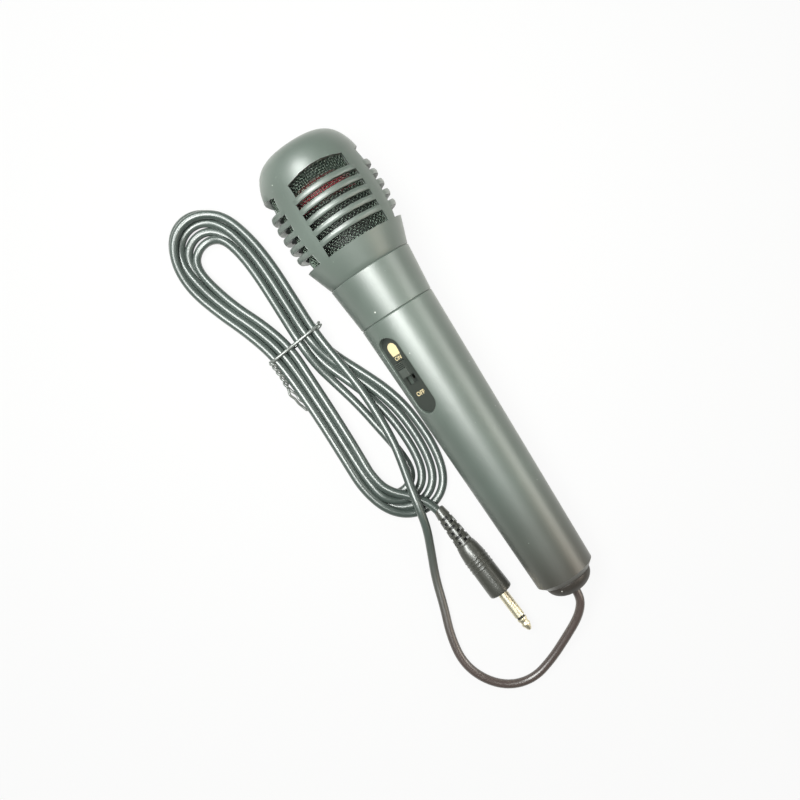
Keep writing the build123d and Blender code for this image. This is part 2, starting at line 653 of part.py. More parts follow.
def tube(name, route, radius):
    """Round cord along straight runs joined by tangent arcs."""
    points = [Vector(place) for place in route]
    radii = corner_radii(points)
    path = FilletPolyline(*points, radius=radii)
    section = Plane(origin=path @ 0, z_dir=path % 0) * Circle(radius)
    solid = sweep(section, path=path)
    ideal = math.pi * radius ** 2 * path.length
    bends = ", ".join(f"{bend:.1f}" for bend in radii)
    print(f"{name}: length {path.length:.1f}, volume {solid.volume:.1f} of {ideal:.1f}, bends {bends}")
    return solid


def make_wires():
    """Two wires from the capsule and one from the switch to the cord, in the switch's plane."""
    tag_z = BOARD_BACK - TAG_LENGTH
    tag = TERMINAL_OFFSET
    cord_z = CORD_INSIDE
    run_x = LUG_BOTTOM - WIRE_R
    lug_z = SWITCH_Z + SLOT_OFFSET
    head_lug = lug_z + LUG_PITCH
    routes = {
        "wire_live": [
            (tag, 0, tag_z), (tag, 0, tag_z - WIRE_OUT_OF_CAPSULE), (run_x, 0, head_lug + WIRE_TO_SWITCH),
            (run_x, 0, head_lug - LUG_WIDTH / 2),
        ],
        "wire_switched": [
            (run_x, 0, lug_z + LUG_WIDTH / 2), (run_x, 0, cord_z + WIRE_LEAN_LIVE),
            (WIRE_R * 1.5, 0, cord_z + WIRE_JOIN_LIVE),
            (WIRE_R * 1.5, 0, cord_z),
        ],
        "wire_ground": [
            (-tag, 0, tag_z), (-tag, 0, cord_z + WIRE_LEAN_GROUND), (-WIRE_R * 1.5, 0, cord_z + WIRE_JOIN_GROUND),
            (-WIRE_R * 1.5, 0, cord_z),
        ],
    }
    return {name: switch_turn() * tube(name, route, WIRE_R) for name, route in routes.items()}


# ---------------------------------------------------------------- plug
BODY_BACK = BOOT_LENGTH
BODY_FRONT = BODY_BACK + BODY_LENGTH
SLEEVE_END = BODY_FRONT + SLEEVE_LENGTH
TIP_START = SLEEVE_END + RING_LENGTH
TIP_END = TIP_START + TIP_LENGTH
TANG_BACK = BODY_FRONT - PLUG_TANG


def make_boot():
    """Soft strain relief: a tapered sleeve cut into staggered links."""
    boot = turned_outline(
        (CORD_R, 0), (BOOT_NOSE_R, 0), (BOOT_FIRST_R, BOOT_NOSE_LENGTH), (BOOT_R, BOOT_LENGTH), (CORD_R, BOOT_LENGTH)
    )
    core = CORD_R + BOOT_CORE
    for row in range(BOOT_ROWS):
        height = BOOT_NOSE_LENGTH + row * BOOT_ROW_PITCH
        for side in range(4):
            cut = Pos(core, 0, height) * Box(
                BOOT_R, BOOT_SLOT_WIDTH, BOOT_SLOT, align=(Align.MIN, Align.CENTER, Align.MIN)
            )
            boot -= Rot(0, 0, side * 90 + (row % 2) * 45) * cut
    return boot


def make_plug_body():
    """Moulded plug body with thin grip ridges."""
    shape = turned_outline(
        (0, BODY_BACK), (BODY_REAR_R, BODY_BACK), (BODY_MID_R, BODY_BACK + BODY_MID_FROM),
        (BODY_R, BODY_FRONT - BODY_EDGE), (BODY_R - BODY_EDGE, BODY_FRONT), (0, BODY_FRONT),
    )
    for index in range(RIDGES):
        low = BODY_BACK + RIDGE_FROM + index * RIDGE_PITCH
        along = (low - BODY_BACK - BODY_MID_FROM) / (BODY_LENGTH - BODY_MID_FROM - BODY_EDGE)
        outer = BODY_MID_R + (BODY_R - BODY_MID_R) * along + RIDGE_PROUD
        shape += ring(BODY_REAR_R, outer, low, low + RIDGE_WIDTH)
    return shape - disc(PLUG_TANG_R, TANG_BACK, BODY_FRONT) - disc(CORE_R, TANG_BACK - CORE_TAIL, TANG_BACK)


def make_plug():
    """Pieces of the plug by node name, with +Z towards its tip."""
    tip = turned_outline(
        (0, TIP_START), (TIP_SHOULDER_R, TIP_START), (TIP_SHOULDER_R, TIP_START + 0.6),
        (TIP_NECK_R, TIP_START + 1.5), (TIP_BULB_R, TIP_START + 2.4), (TIP_BULB_R, TIP_START + 2.9),
        (TIP_END_R, TIP_END), (0, TIP_END),
    )
    return {
        "plug_boot": make_boot(),
        "plug_body": make_plug_body(),
        "plug_sleeve": turned_outline(
            (CORE_SLEEVE_R, TANG_BACK), (PLUG_TANG_R, TANG_BACK), (PLUG_TANG_R, BODY_FRONT),
            (SLEEVE_R, BODY_FRONT), (SLEEVE_R, SLEEVE_END), (CORE_SLEEVE_R, SLEEVE_END),
        ),
        "plug_insulator": ring(CORE_SLEEVE_R, INSULATOR_R, SLEEVE_END, TIP_START),
        "plug_liner": ring(CORE_R, CORE_SLEEVE_R, TANG_BACK, TIP_START),
        "plug_core": disc(CORE_R, TANG_BACK - CORE_TAIL, TIP_START),
        "plug_tip": tip,
    }


def plug_place():
    """The plug lies on the floor on the fattest part of its body."""
    heading = math.radians(PLUG_HEADING)
    ahead = (math.cos(heading), math.sin(heading), 0)
    return Plane(origin=(*PLUG_BOOT_AT, BODY_R), x_dir=(0, 0, 1), z_dir=ahead).location


# ---------------------------------------------------------------- hank and tie
def rounded(points):
    """Closed outline with its corners rounded as far as its sides allow."""
    corners = [Vector(*place) for place in points]
    looped = [corners[-1], *corners, corners[0]]
    return make_face(FilletPolyline(*corners, radius=corner_radii(looped), close=True))


def tie_place(height):
    return Pos(*TIE_AT, height) * Rot(0, 0, TIE_HEADING)


def make_hank():
    """Outer shape of the tied turns of cord, with the channel that the tie sits in."""
    channel = 2 * TIE_WIRE_R + SNUG
    hank = extrude(rounded(HANK_EDGE), HANK_HEIGHT)
    for hole in (UPPER_HOLE, LOWER_HOLE):
        hank -= extrude(rounded(hole), HANK_HEIGHT)
    hank -= tie_place(0) * slab(2 * TIE_WIRE_R + 2 * SNUG, 2 * TIE_SPAN, 0, channel)
    return hank


def make_tie():
    """Wire tie: a loop round the bundle and its twisted tails on top."""
    low = TIE_WIRE_R
    high = HANK_HEIGHT + SNUG + TIE_WIRE_R
    half = TIE_SPAN / 2 + TIE_WIRE_R + SNUG
    corners = [Vector(0, side, height) for side, height in ((-half, low), (half, low), (half, high), (-half, high))]
    path = FilletPolyline(*corners, radius=HANK_CORNER_R / 2, close=True)
    section = Plane(origin=path @ 0, z_dir=path % 0) * Circle(TIE_WIRE_R)
    loop = sweep(section, path=path)
    tail_height = HANK_HEIGHT + SNUG + TIE_TAIL_R
    tail = Pos(0, half - 2.2, tail_height) * Rot(0, -90, 0) * Cylinder(
        TIE_TAIL_R, TIE_TAIL_LENGTH, align=(Align.CENTER, Align.CENTER, Align.MIN)
    )
    return tie_place(0) * (loop + tail)


# ---------------------------------------------------------------- assembly
def placed(place, piece):
    """The piece's solids moved one by one, so that none keeps a frame of its own."""
    solids = [place * solid for solid in piece.solids()]
    return solids[0] if len(solids) == 1 else Compound(children=solids)


def make_microphone():
    """Every piece of the microphone itself, upright in its own frame."""
    pieces = {
        "head_grille": make_head_grille(),
        "mesh_screen": make_mesh(),
        "capsule_cradle": make_cradle(),
        "shock_ring": make_shock_ring(),
        "collar": make_collar(),
        "handle": make_handle(),
        "tail_cap": make_tail_cap(),
        "cord_stop": ring(CORD_R, STOP_R, TAIL_CAP_WALL, TAIL_CAP_WALL + STOP_LENGTH),
        "cord_inside": disc(CORD_R, 0, CORD_INSIDE),
    }
    pieces.update(make_capsule())
    pieces.update(make_switch())
    pieces.update(make_wires())
    return pieces


def lying_tilt():
    """Slope of the axis when the tail rim and the barrel both touch the floor."""
    along = BARREL_MID_Z - RIM_Z
    drop = BARREL_R - BARREL_CURVE_R - RIM_R
    return math.atan2(drop, along) + math.asin(BARREL_CURVE_R / math.hypot(along, drop))


def lay_down(pieces):
    """Where the upright microphone goes: tilted, its tail at TAIL_AT and set on the floor."""
    tilt = lying_tilt()
    ahead = (math.cos(tilt), 0, math.sin(tilt))
    up = (-math.sin(tilt), 0, math.cos(tilt))
    turned_over = Plane(origin=(0, 0, 0), x_dir=up, z_dir=ahead).location
    box = Compound([turned_over * pieces[name] for name in ("head_grille", "handle", "tail_cap")]).bounding_box()
    return Pos(TAIL_AT, 0, -box.min.Z) * turned_over


def make_cords(straight):
    """The cord outside the microphone, its hank, its tie and its plug."""
    hank = make_hank()
    lead = tube("cord_lead", [*straight, *LEAD_ROUTE], CORD_R) - hank
    heading = math.radians(PLUG_HEADING)
    plug_body_back = (
        PLUG_BOOT_AT[0] + BOOT_LENGTH * math.cos(heading),
        PLUG_BOOT_AT[1] + BOOT_LENGTH * math.sin(heading),
        BODY_R,
    )
    end = tube("cord_end", [*END_ROUTE, (*PLUG_BOOT_AT, BODY_R), plug_body_back], CORD_R) - hank
    pieces = {"cord_hank": hank, "cord_lead": lead, "cord_end": end, "wire_tie": make_tie()}
    for name, piece in make_plug().items():
        pieces[name] = placed(plug_place(), piece)
    return pieces


def main():
    upright = make_microphone()
    place = lay_down(upright)
    pieces = {name: placed(place, piece) for name, piece in upright.items()}
    straight = [(place * Pos(0, 0, height)).position for height in (0, -LEAD_STRAIGHT)]
    pieces.update(make_cords(straight))
    print("axis tilt", round(math.degrees(lying_tilt()), 3), "cord leaves at", straight[0])

    os.makedirs("parts", exist_ok=True)
    for name, piece in pieces.items():
        export_step(piece, f"parts/{name}.step")


main()
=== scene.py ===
"""Looks of a hand-held dynamic microphone with a tied lead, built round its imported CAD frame.

Lengths are in metres and the row frame is the CAD's. The microphone's own frame is upright: +Z up its
axis from the cord hole, +X on the side that faces up when it lies, and it is laid down by `AxisFrame`.
"""

from __future__ import annotations

import json
import logging
import math
from dataclasses import dataclass, field
from enum import Enum
from typing import Any, Callable, Iterable, Sequence

import bmesh
import bpy
import numpy as np
from mathutils import Matrix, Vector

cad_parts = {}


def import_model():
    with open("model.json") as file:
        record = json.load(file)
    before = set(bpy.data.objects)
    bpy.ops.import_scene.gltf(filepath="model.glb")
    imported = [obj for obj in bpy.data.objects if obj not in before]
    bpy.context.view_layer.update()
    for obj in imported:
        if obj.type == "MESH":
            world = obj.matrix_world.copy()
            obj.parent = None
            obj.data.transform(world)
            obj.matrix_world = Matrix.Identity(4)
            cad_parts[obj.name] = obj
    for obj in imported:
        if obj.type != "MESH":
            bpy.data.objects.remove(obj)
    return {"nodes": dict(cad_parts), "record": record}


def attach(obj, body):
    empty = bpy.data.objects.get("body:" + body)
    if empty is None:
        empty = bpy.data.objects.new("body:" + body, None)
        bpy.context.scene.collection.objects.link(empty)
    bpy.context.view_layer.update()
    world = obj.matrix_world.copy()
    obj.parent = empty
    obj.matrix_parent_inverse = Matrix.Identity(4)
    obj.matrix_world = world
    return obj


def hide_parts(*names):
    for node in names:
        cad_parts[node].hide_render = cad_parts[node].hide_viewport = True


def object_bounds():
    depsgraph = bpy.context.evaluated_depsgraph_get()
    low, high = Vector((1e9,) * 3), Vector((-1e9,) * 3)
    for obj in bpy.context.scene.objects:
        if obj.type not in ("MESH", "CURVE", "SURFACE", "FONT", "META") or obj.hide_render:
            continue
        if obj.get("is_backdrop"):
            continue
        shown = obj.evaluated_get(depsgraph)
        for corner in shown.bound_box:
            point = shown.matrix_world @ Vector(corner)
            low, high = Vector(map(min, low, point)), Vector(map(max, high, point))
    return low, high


log = logging.getLogger("microphone")
Array = np.ndarray
MM = 0.001


# ---------------------------------------------------------------- frames and grids
@dataclass(frozen=True)
class AxisFrame:
    """A straight axis in the row frame, with a second direction that fixes the turn about it."""

    origin: tuple[float, float, float]
    ahead: tuple[float, float, float]
    up: tuple[float, float, float]

    def place(self, local: Array) -> Array:
        """Row-frame points of local ones: origin + x up + y (ahead x up) + z ahead.

        Args:
            local: points in millimetres, one per row.

        Returns:
            The same points in metres in the row frame.
        """
        ahead, up = np.array(self.ahead), np.array(self.up)
        ahead /= np.linalg.norm(ahead)
        up = up - ahead * (up @ ahead)
        up /= np.linalg.norm(up)
        basis = np.stack([up, np.cross(ahead, up), ahead])
        return np.array(self.origin) + MM * (np.asarray(local, float) @ basis)


AXIS = AxisFrame((-0.08597, 0.0, 0.0099103), (0.9981416, 0.0, 0.0609372), (-0.0609372, 0.0, 0.9981416))


def grid_faces(rows: int, columns: int, closed: bool = False) -> Array:
    """Quads of a grid of points numbered row by row.

    Args:
        rows: points along the first parameter.
        columns: points along the second one.
        closed: whether the last column joins the first.

    Returns:
        Corner numbers, four per quad, in the order (0,0) (0,1) (1,1) (1,0).
    """
    last = columns if closed else columns - 1
    i, j = np.meshgrid(np.arange(rows - 1), np.arange(last), indexing="ij")
    k = (j + 1) % columns
    low, high = i * columns, (i + 1) * columns
    return np.stack([low + j, low + k, high + k, high + j], -1).reshape(-1, 4)


def strip(low: Array, high: Array) -> list[list[int]]:
    """Faces between two closed loops of as many corners, with poles welded into triangles."""
    quads = np.stack([low, np.roll(low, -1), np.roll(high, -1), high], -1).tolist()
    return [list(dict.fromkeys(quad)) for quad in quads if len(set(quad)) > 2]


def strips(loops: Sequence[Array], closed: bool = False) -> list[list[int]]:
    """Faces between each loop and the next, and from the last back to the first if closed."""
    following = [*loops[1:], loops[0]] if closed else loops[1:]
    return [face for low, high in zip(loops, following) for face in strip(low, high)]


def joined(pieces: Iterable[tuple[Array, Iterable[Sequence[int]]]]) -> tuple[Array, list[list[int]]]:
    """Points and faces of several meshes as one, numbered in their order."""
    points, faces, total = [], [], 0
    for made, corners in pieces:
        points.append(made)
        faces += [[int(corner) + total for corner in face] for face in corners]
        total += len(made)
    return np.concatenate(points), faces


def polar(radius: Array, angle: Array, height: Array) -> Array:
    """Points (r cos a, r sin a, z) as one array."""
    radius, angle, height = np.broadcast_arrays(radius, angle, height)
    return np.stack([radius * np.cos(angle), radius * np.sin(angle), height], -1)


def arc_through(start: Sequence[float], middle: Sequence[float], end: Sequence[float], count: int) -> Array:
    """Points of the circle through three points of a plane, evenly spaced from start to end.

    The centre is where the two chords' bisectors meet, and the angle runs linearly past the middle point.
    """
    a, b, c = (np.array(p, float) for p in (start, middle, end))
    rows = 2 * np.array([b - a, c - b])
    centre = np.linalg.solve(rows, np.array([b @ b - a @ a, c @ c - b @ b]))
    first, mid, last = (math.atan2(*(p - centre)[::-1]) for p in (a, b, c))
    turn = (last - first) % (2 * math.pi)
    if (mid - first) % (2 * math.pi) > turn:
        turn -= 2 * math.pi
    angle = first + turn * np.linspace(0, 1, count)
    return centre + np.linalg.norm(a - centre) * np.stack([np.cos(angle), np.sin(angle)], -1)


def added(name: str, data: bpy.types.ID) -> bpy.types.Object:
    """A new object of the scene."""
    made = bpy.data.objects.new(name, data)
    bpy.context.scene.collection.objects.link(made)
    return made


def turned_to(side: Array, up: Array, back: Array, place: Sequence[float]) -> Matrix:
    """Matrix of an object at a place with these directions as its X, Y and Z."""
    matrix = np.eye(4)
    matrix[:3] = np.column_stack([side, up, back, place])
    return Matrix(matrix.tolist())


class Part:
    """One finished mesh of the microphone, in the row frame, with its object at the origin."""

    def __init__(self, name: str, points: Array, faces: Iterable[Sequence[int]], smooth: bool = True) -> None:
        """Makes the mesh and its object.

        Args:
            name: the object's name.
            points: vertices in metres.
            faces: corner numbers, facing outwards.
            smooth: whether faces are shaded smooth.
        """
        mesh = bpy.data.meshes.new(name)
        mesh.from_pydata(np.asarray(points, float).tolist(), [], [list(map(int, f)) for f in faces])
        mesh.validate()
        mesh.polygons.foreach_set("use_smooth", np.full(len(mesh.polygons), smooth))
        mesh.update()
        self.object = added(name, mesh)

    def bevel(self, width: float, segments: int = 2, angle: float = 32.0) -> Part:
        """Rounds edges sharper than `angle` degrees by `width` millimetres."""
        modifier = self.object.modifiers.new("edge_rounding", "BEVEL")
        modifier.width = width * MM
        modifier.segments = segments
        modifier.limit_method = "ANGLE"
        modifier.angle_limit = math.radians(angle)
        modifier.harden_normals = True
        modifier.use_clamp_overlap = True
        return self

    def outward(self) -> Part:
        """Merges doubles and turns every face outwards."""
        work = bmesh.new()
        work.from_mesh(self.object.data)
        bmesh.ops.remove_doubles(work, verts=work.verts, dist=1e-7)
        bmesh.ops.recalc_face_normals(work, faces=work.faces)
        work.to_mesh(self.object.data)
        work.free()
        return self

    def finish(self, material: bpy.types.Material, slot: str, body: str, *replaced: str) -> bpy.types.Object:
        """Dresses the part, says what it rides on and hides the CAD nodes it stands for."""
        self.object.data.materials.append(material)
        if replaced:
            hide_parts(*replaced)
        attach(self.object, body)
        log.info("%s: %d vertices", self.object.name, len(self.object.data.vertices))
        return self.object


def tube_mesh(path: Array, radius: float, sides: int, closed: bool = False) -> tuple[Array, Array]:
    """A round tube carried along a path.

    Each ring is path + r (cos a side + sin a lift), where side is square to the run and to a fixed
    reference that is turned along the path step by step, so the tube doesn't twist.

    Returns:
        Points and quads. An open tube's ends stay open.
    """
    path = np.asarray(path, float)
    if closed:
        run = np.roll(path, -1, 0) - np.roll(path, 1, 0)
    else:
        run = np.gradient(path, axis=0)
    run /= np.linalg.norm(run, axis=1)[:, None]
    side = np.empty_like(run)
    reference = np.array([0.0, 0.0, 1.0]) if abs(run[0, 2]) < 0.9 else np.array([1.0, 0.0, 0.0])
    for index, direction in enumerate(run):
        reference = reference - direction * (reference @ direction)
        reference /= np.linalg.norm(reference)
        side[index] = reference
    lift = np.cross(run, side)
    angle = np.linspace(0, 2 * math.pi, sides, endpoint=False)
    ring = np.cos(angle)[None, :, None] * side[:, None, :] + np.sin(angle)[None, :, None] * lift[:, None, :]
    points = (path[:, None, :] + radius * ring).reshape(-1, 3)
    faces = grid_faces(len(path), sides, closed=True)
    if closed:
        last, first = (len(path) - 1) * sides + np.arange(sides), np.arange(sides)
        faces = np.concatenate([faces, np.stack([last, np.roll(last, -1), np.roll(first, -1), first], -1)])
    return points, faces[:, ::-1]


# ---------------------------------------------------------------- shader graph
class Wire:
    """A shader socket that takes part in Python expressions, each of which adds one Math node."""

    def __init__(self, graph: Graph, socket: bpy.types.NodeSocket) -> None:
        """Wraps a socket of a graph."""
        self.graph = graph
        self.socket = socket

    def _math(self, operation: str, *values: Any, clamp: bool = False) -> Wire:
        """One Math node over the values, in order."""
        settings = {"operation": operation, "use_clamp": clamp}
        return self.graph.node("ShaderNodeMath", settings, dict(enumerate(values)))

    def __add__(self, other: Any) -> Wire:
        """Sum."""
        return self._math("ADD", self, other)

    def __radd__(self, other: Any) -> Wire:
        """Sum, reflected."""
        return self._math("ADD", other, self)

    def __sub__(self, other: Any) -> Wire:
        """Difference."""
        return self._math("SUBTRACT", self, other)

    def __rsub__(self, other: Any) -> Wire:
        """Difference, reflected."""
        return self._math("SUBTRACT", other, self)

    def __mul__(self, other: Any) -> Wire:
        """Product."""
        return self._math("MULTIPLY", self, other)

    def above(self, level: float, width: float = 0.05) -> Wire:
        """0 below level, 1 above level + width, straight between them."""
        return self._math("MULTIPLY", self - level, 1 / width, clamp=True)

    def largest(self, other: Any) -> Wire:
        """The larger of the two."""
        return self._math("MAXIMUM", self, other)


class Graph:
    """The node tree of one material."""

    def __init__(self, name: str) -> None:
        """Starts an empty material with its output."""
        self.material = bpy.data.materials.new(name)
        self.material.use_nodes = True
        self.tree = self.material.node_tree
        self.tree.nodes.clear()
        self.output = self.tree.nodes.new("ShaderNodeOutputMaterial")

    def node(self, kind: str, settings: dict[str, Any] | None = None, inputs: dict[Any, Any] | None = None,
             out: str | int = 0) -> Wire:
        """Adds any node.

        Args:
            kind: the node's type.
            settings: its properties; "stops" fills a ramp with (place, colour) pairs.
            inputs: values or wires by socket name or number.
            out: the output to return.

        Returns:
            The chosen output.
        """
        made = self.tree.nodes.new(kind)
        for key, value in (settings or {}).items():
            if key == "stops":
                ramp = made.color_ramp
                while len(ramp.elements) < len(value):
                    ramp.elements.new(0.5)
                for element, (place, colour) in zip(ramp.elements, value):
                    element.position, element.color = place, (*colour, 1.0)
            else:
                setattr(made, key, value)
        for key, value in (inputs or {}).items():
            socket = made.inputs[key]
            if isinstance(value, Wire):
                self.tree.links.new(value.socket, socket)
            elif socket.type == "RGBA" and len(value) == 3:
                socket.default_value = (*value, 1.0)
            else:
                socket.default_value = value
        return Wire(self, made.outputs[out])

    def place(self) -> Wire:
        """Object coordinates."""
        return self.node("ShaderNodeTexCoord", out="Object")

    def noise(self, where: Wire, scale: float, detail: float = 3.0, roughness: float = 0.55) -> Wire:
        """Noise of about one feature per 1/scale metres."""
        values = {"Vector": where, "Scale": scale, "Detail": detail, "Roughness": roughness}
        return self.node("ShaderNodeTexNoise", {}, values)

    def mix(self, share: Any, first: Any, second: Any) -> Wire:
        """Colour mix of two colours by a share."""
        made = self.tree.nodes.new("ShaderNodeMix")
        made.data_type = "RGBA"
        for index, value in ((0, share), (6, first), (7, second)):
            if isinstance(value, Wire):
                self.tree.links.new(value.socket, made.inputs[index])
            elif index == 0:
                made.inputs[index].default_value = value
            else:
                made.inputs[index].default_value = (*value, 1.0)
        return Wire(self, made.outputs[2])

    def close(self, shader: Wire) -> bpy.types.Material:
        """Joins the shader to the output and returns the material."""
        self.tree.links.new(shader.socket, self.output.inputs["Surface"])
        return self.material


@dataclass(frozen=True)
class Moulded:
    """Moulded plastic: a colour that drifts, fine grain, scuffs that are paler and rougher, dust specks.

    With a painted tail colour, the colour turns to it along -X, from the tail start over the tail fade, in
    metres: painted shade and warm reflected light towards the tail.
    """

    name: str
    colour: tuple[float, float, float]
    roughness: float = 0.36
    drift: float = 0.10
    grain: float = 0.25
    grain_size: float = 0.0006
    scuffs: float = 0.3
    specks: float = 0.0
    coat: float = 0.0
    coat_roughness: float = 0.15
    painted_tail_lighting: tuple[float, float, float] | None = None
    painted_tail_start: float = 0.042
    painted_tail_fade: float = 0.045
    speck_colour: tuple[float, float, float] = (0.62, 0.62, 0.58)

    def make(self) -> bpy.types.Material:
        """Builds the material."""
        g = Graph(self.name)
        plain = g.place()
        drift = g.noise(plain, 38.0, 4.0)
        fine = g.noise(plain, 1 / self.grain_size, 2.0)
        scuff = g.noise(plain, 520.0, 6.0, 0.7).above(0.60, 0.14) * self.scuffs
        patch = g.noise(plain, 60.0, 2.0).above(0.48, 0.2)
        worn = scuff * patch
        dark = tuple(c * (1 - self.drift) for c in self.colour)
        pale = tuple(min(1.0, c * (1 + self.drift)) for c in self.colour)
        colour = g.mix(drift.above(0.35, 0.3), dark, pale)
        # Painted lighting: along -X the colour turns to the tail colour, as painted shade and warm reflected
        # light towards the tail.
        if self.painted_tail_lighting:
            along = g.node("ShaderNodeSeparateXYZ", {}, {"Vector": plain}, out="X")
            colour = g.mix((along * -1).above(self.painted_tail_start, self.painted_tail_fade), colour, self.painted_tail_lighting)
        colour = g.mix(worn, colour, tuple(min(1.0, 0.10 + 1.5 * c) for c in self.colour))
        if self.specks:
            spots = g.node("ShaderNodeTexVoronoi", {"feature": "F1"}, {"Vector": plain, "Scale": 260.0})
            seen = (0.075 - spots).above(0.0, 0.02) * g.noise(plain, 90.0).above(0.55, 0.05) * self.specks
            colour = g.mix(seen, colour, self.speck_colour)
        rough = self.roughness + (drift - 0.5) * 0.10 + worn * 0.22 + (fine - 0.5) * 0.06
        relief = {"Strength": self.grain, "Distance": 0.00004, "Height": fine + drift * 0.6}
        bump = g.node("ShaderNodeBump", {}, relief)
        values = {"Base Color": colour, "Roughness": rough, "Normal": bump, "IOR": 1.5,
                  "Coat Weight": self.coat, "Coat Roughness": self.coat_roughness}
        return g.close(g.node("ShaderNodeBsdfPrincipled", {}, values))


@dataclass(frozen=True)
class Metal:
    """Plated or drawn metal with a fine grain and a little tarnish."""

    name: str
    colour: tuple[float, float, float]
    roughness: float = 0.22
    tarnish: tuple[float, float, float] = (0.35, 0.26, 0.14)

    def make(self) -> bpy.types.Material:
        """Builds the material."""
        g = Graph(self.name)
        grain = g.noise(g.place(), 900.0, 3.0)
        patch = g.noise(g.place(), 240.0, 4.0).above(0.56, 0.2)
        colour = g.mix(patch * 0.35, self.colour, self.tarnish)
        rough = self.roughness + (grain - 0.5) * 0.16 + patch * 0.12
        bump = g.node("ShaderNodeBump", {}, {"Strength": 0.2, "Distance": 0.00002, "Height": grain})
        values = {"Base Color": colour, "Metallic": 1.0, "Roughness": rough, "Normal": bump}
        return g.close(g.node("ShaderNodeBsdfPrincipled", {}, values))


@dataclass
class Finishes:
    """Every finish of the microphone, made once and shared by slot."""

    made: dict[str, bpy.types.Material] = field(default_factory=dict)

    def __post_init__(self) -> None:
        """Makes the materials."""
        kinds = [
            # The shell's tail colour is painted shade with a warm reflection, darker and browner towards the
            # tail.
            Moulded("satin_shell", (0.072, 0.089, 0.077), 0.44, specks=0.8, scuffs=0.45, coat=1.0,
                    coat_roughness=0.38, painted_tail_lighting=(0.036, 0.030, 0.024)),
            Moulded("shell_tail", (0.035, 0.030, 0.026), 0.4, specks=0.8, scuffs=0.5),
            Moulded("thumb_slide", (0.045, 0.052, 0.045), 0.42, scuffs=0.6),
            # Dark switch plastic: the plate's own colour, also put on the slider and base under it as painted
            # shade in the slot.
            Moulded("switch_face", (0.020, 0.024, 0.020), 0.50, scuffs=0.5),
            Moulded("label_ink", (0.50, 0.41, 0.24), 0.5, drift=0.10, scuffs=0.35),
            # The cord's tail colour is painted warm reflected light, warmer towards the tail.
            Moulded("cord_sheath", (0.040, 0.052, 0.046), 0.36, grain=0.0, scuffs=0.05, coat=1.0,
                    coat_roughness=0.30, painted_tail_lighting=(0.068, 0.050, 0.045)),
            Moulded("plug_moulding", (0.045, 0.045, 0.038), 0.36, grain=0.1, scuffs=0.3, coat=1.0,
                    coat_roughness=0.28),
            Moulded("capsule_red", (0.38, 0.04, 0.06), 0.35, scuffs=0.1),
            Moulded("inner_plastic", (0.04, 0.04, 0.04), 0.5),
            Moulded("film", (0.55, 0.5, 0.38), 0.2, scuffs=0.05),
            Moulded("ferrite", (0.06, 0.06, 0.065), 0.6),
            Moulded("soft_rubber", (0.03, 0.03, 0.03), 0.7),
            Moulded("phenolic", (0.30, 0.17, 0.07), 0.5),
            Moulded("black_insulator", (0.02, 0.02, 0.02), 0.35),
            Moulded("red_insulation", (0.42, 0.03, 0.03), 0.35),
            Moulded("white_insulation", (0.7, 0.7, 0.66), 0.35),
            Moulded("tie_sheath", (0.10, 0.108, 0.10), 0.32, drift=0.05, grain=0.05, scuffs=0.1, coat=0.8),
            Metal("gold_plate", (1.0, 0.92, 0.70), 0.40, (0.80, 0.66, 0.42)),
            Metal("mesh_wire", (0.075, 0.095, 0.078), 0.26, (0.03, 0.04, 0.03)),
            Metal("plain_steel", (0.55, 0.55, 0.53), 0.3),
            # Steel darkened as painted shade, for the switch parts seen through the slot.
            Metal("slot_shade_steel", (0.10, 0.11, 0.10), 0.45, (0.05, 0.05, 0.05)),
            Metal("bare_copper", (0.75, 0.38, 0.22), 0.28),
        ]
        self.made = {kind.name: kind.make() for kind in kinds}

    def __getitem__(self, name: str) -> bpy.types.Material:
        """The material of that name."""
        return self.made[name]


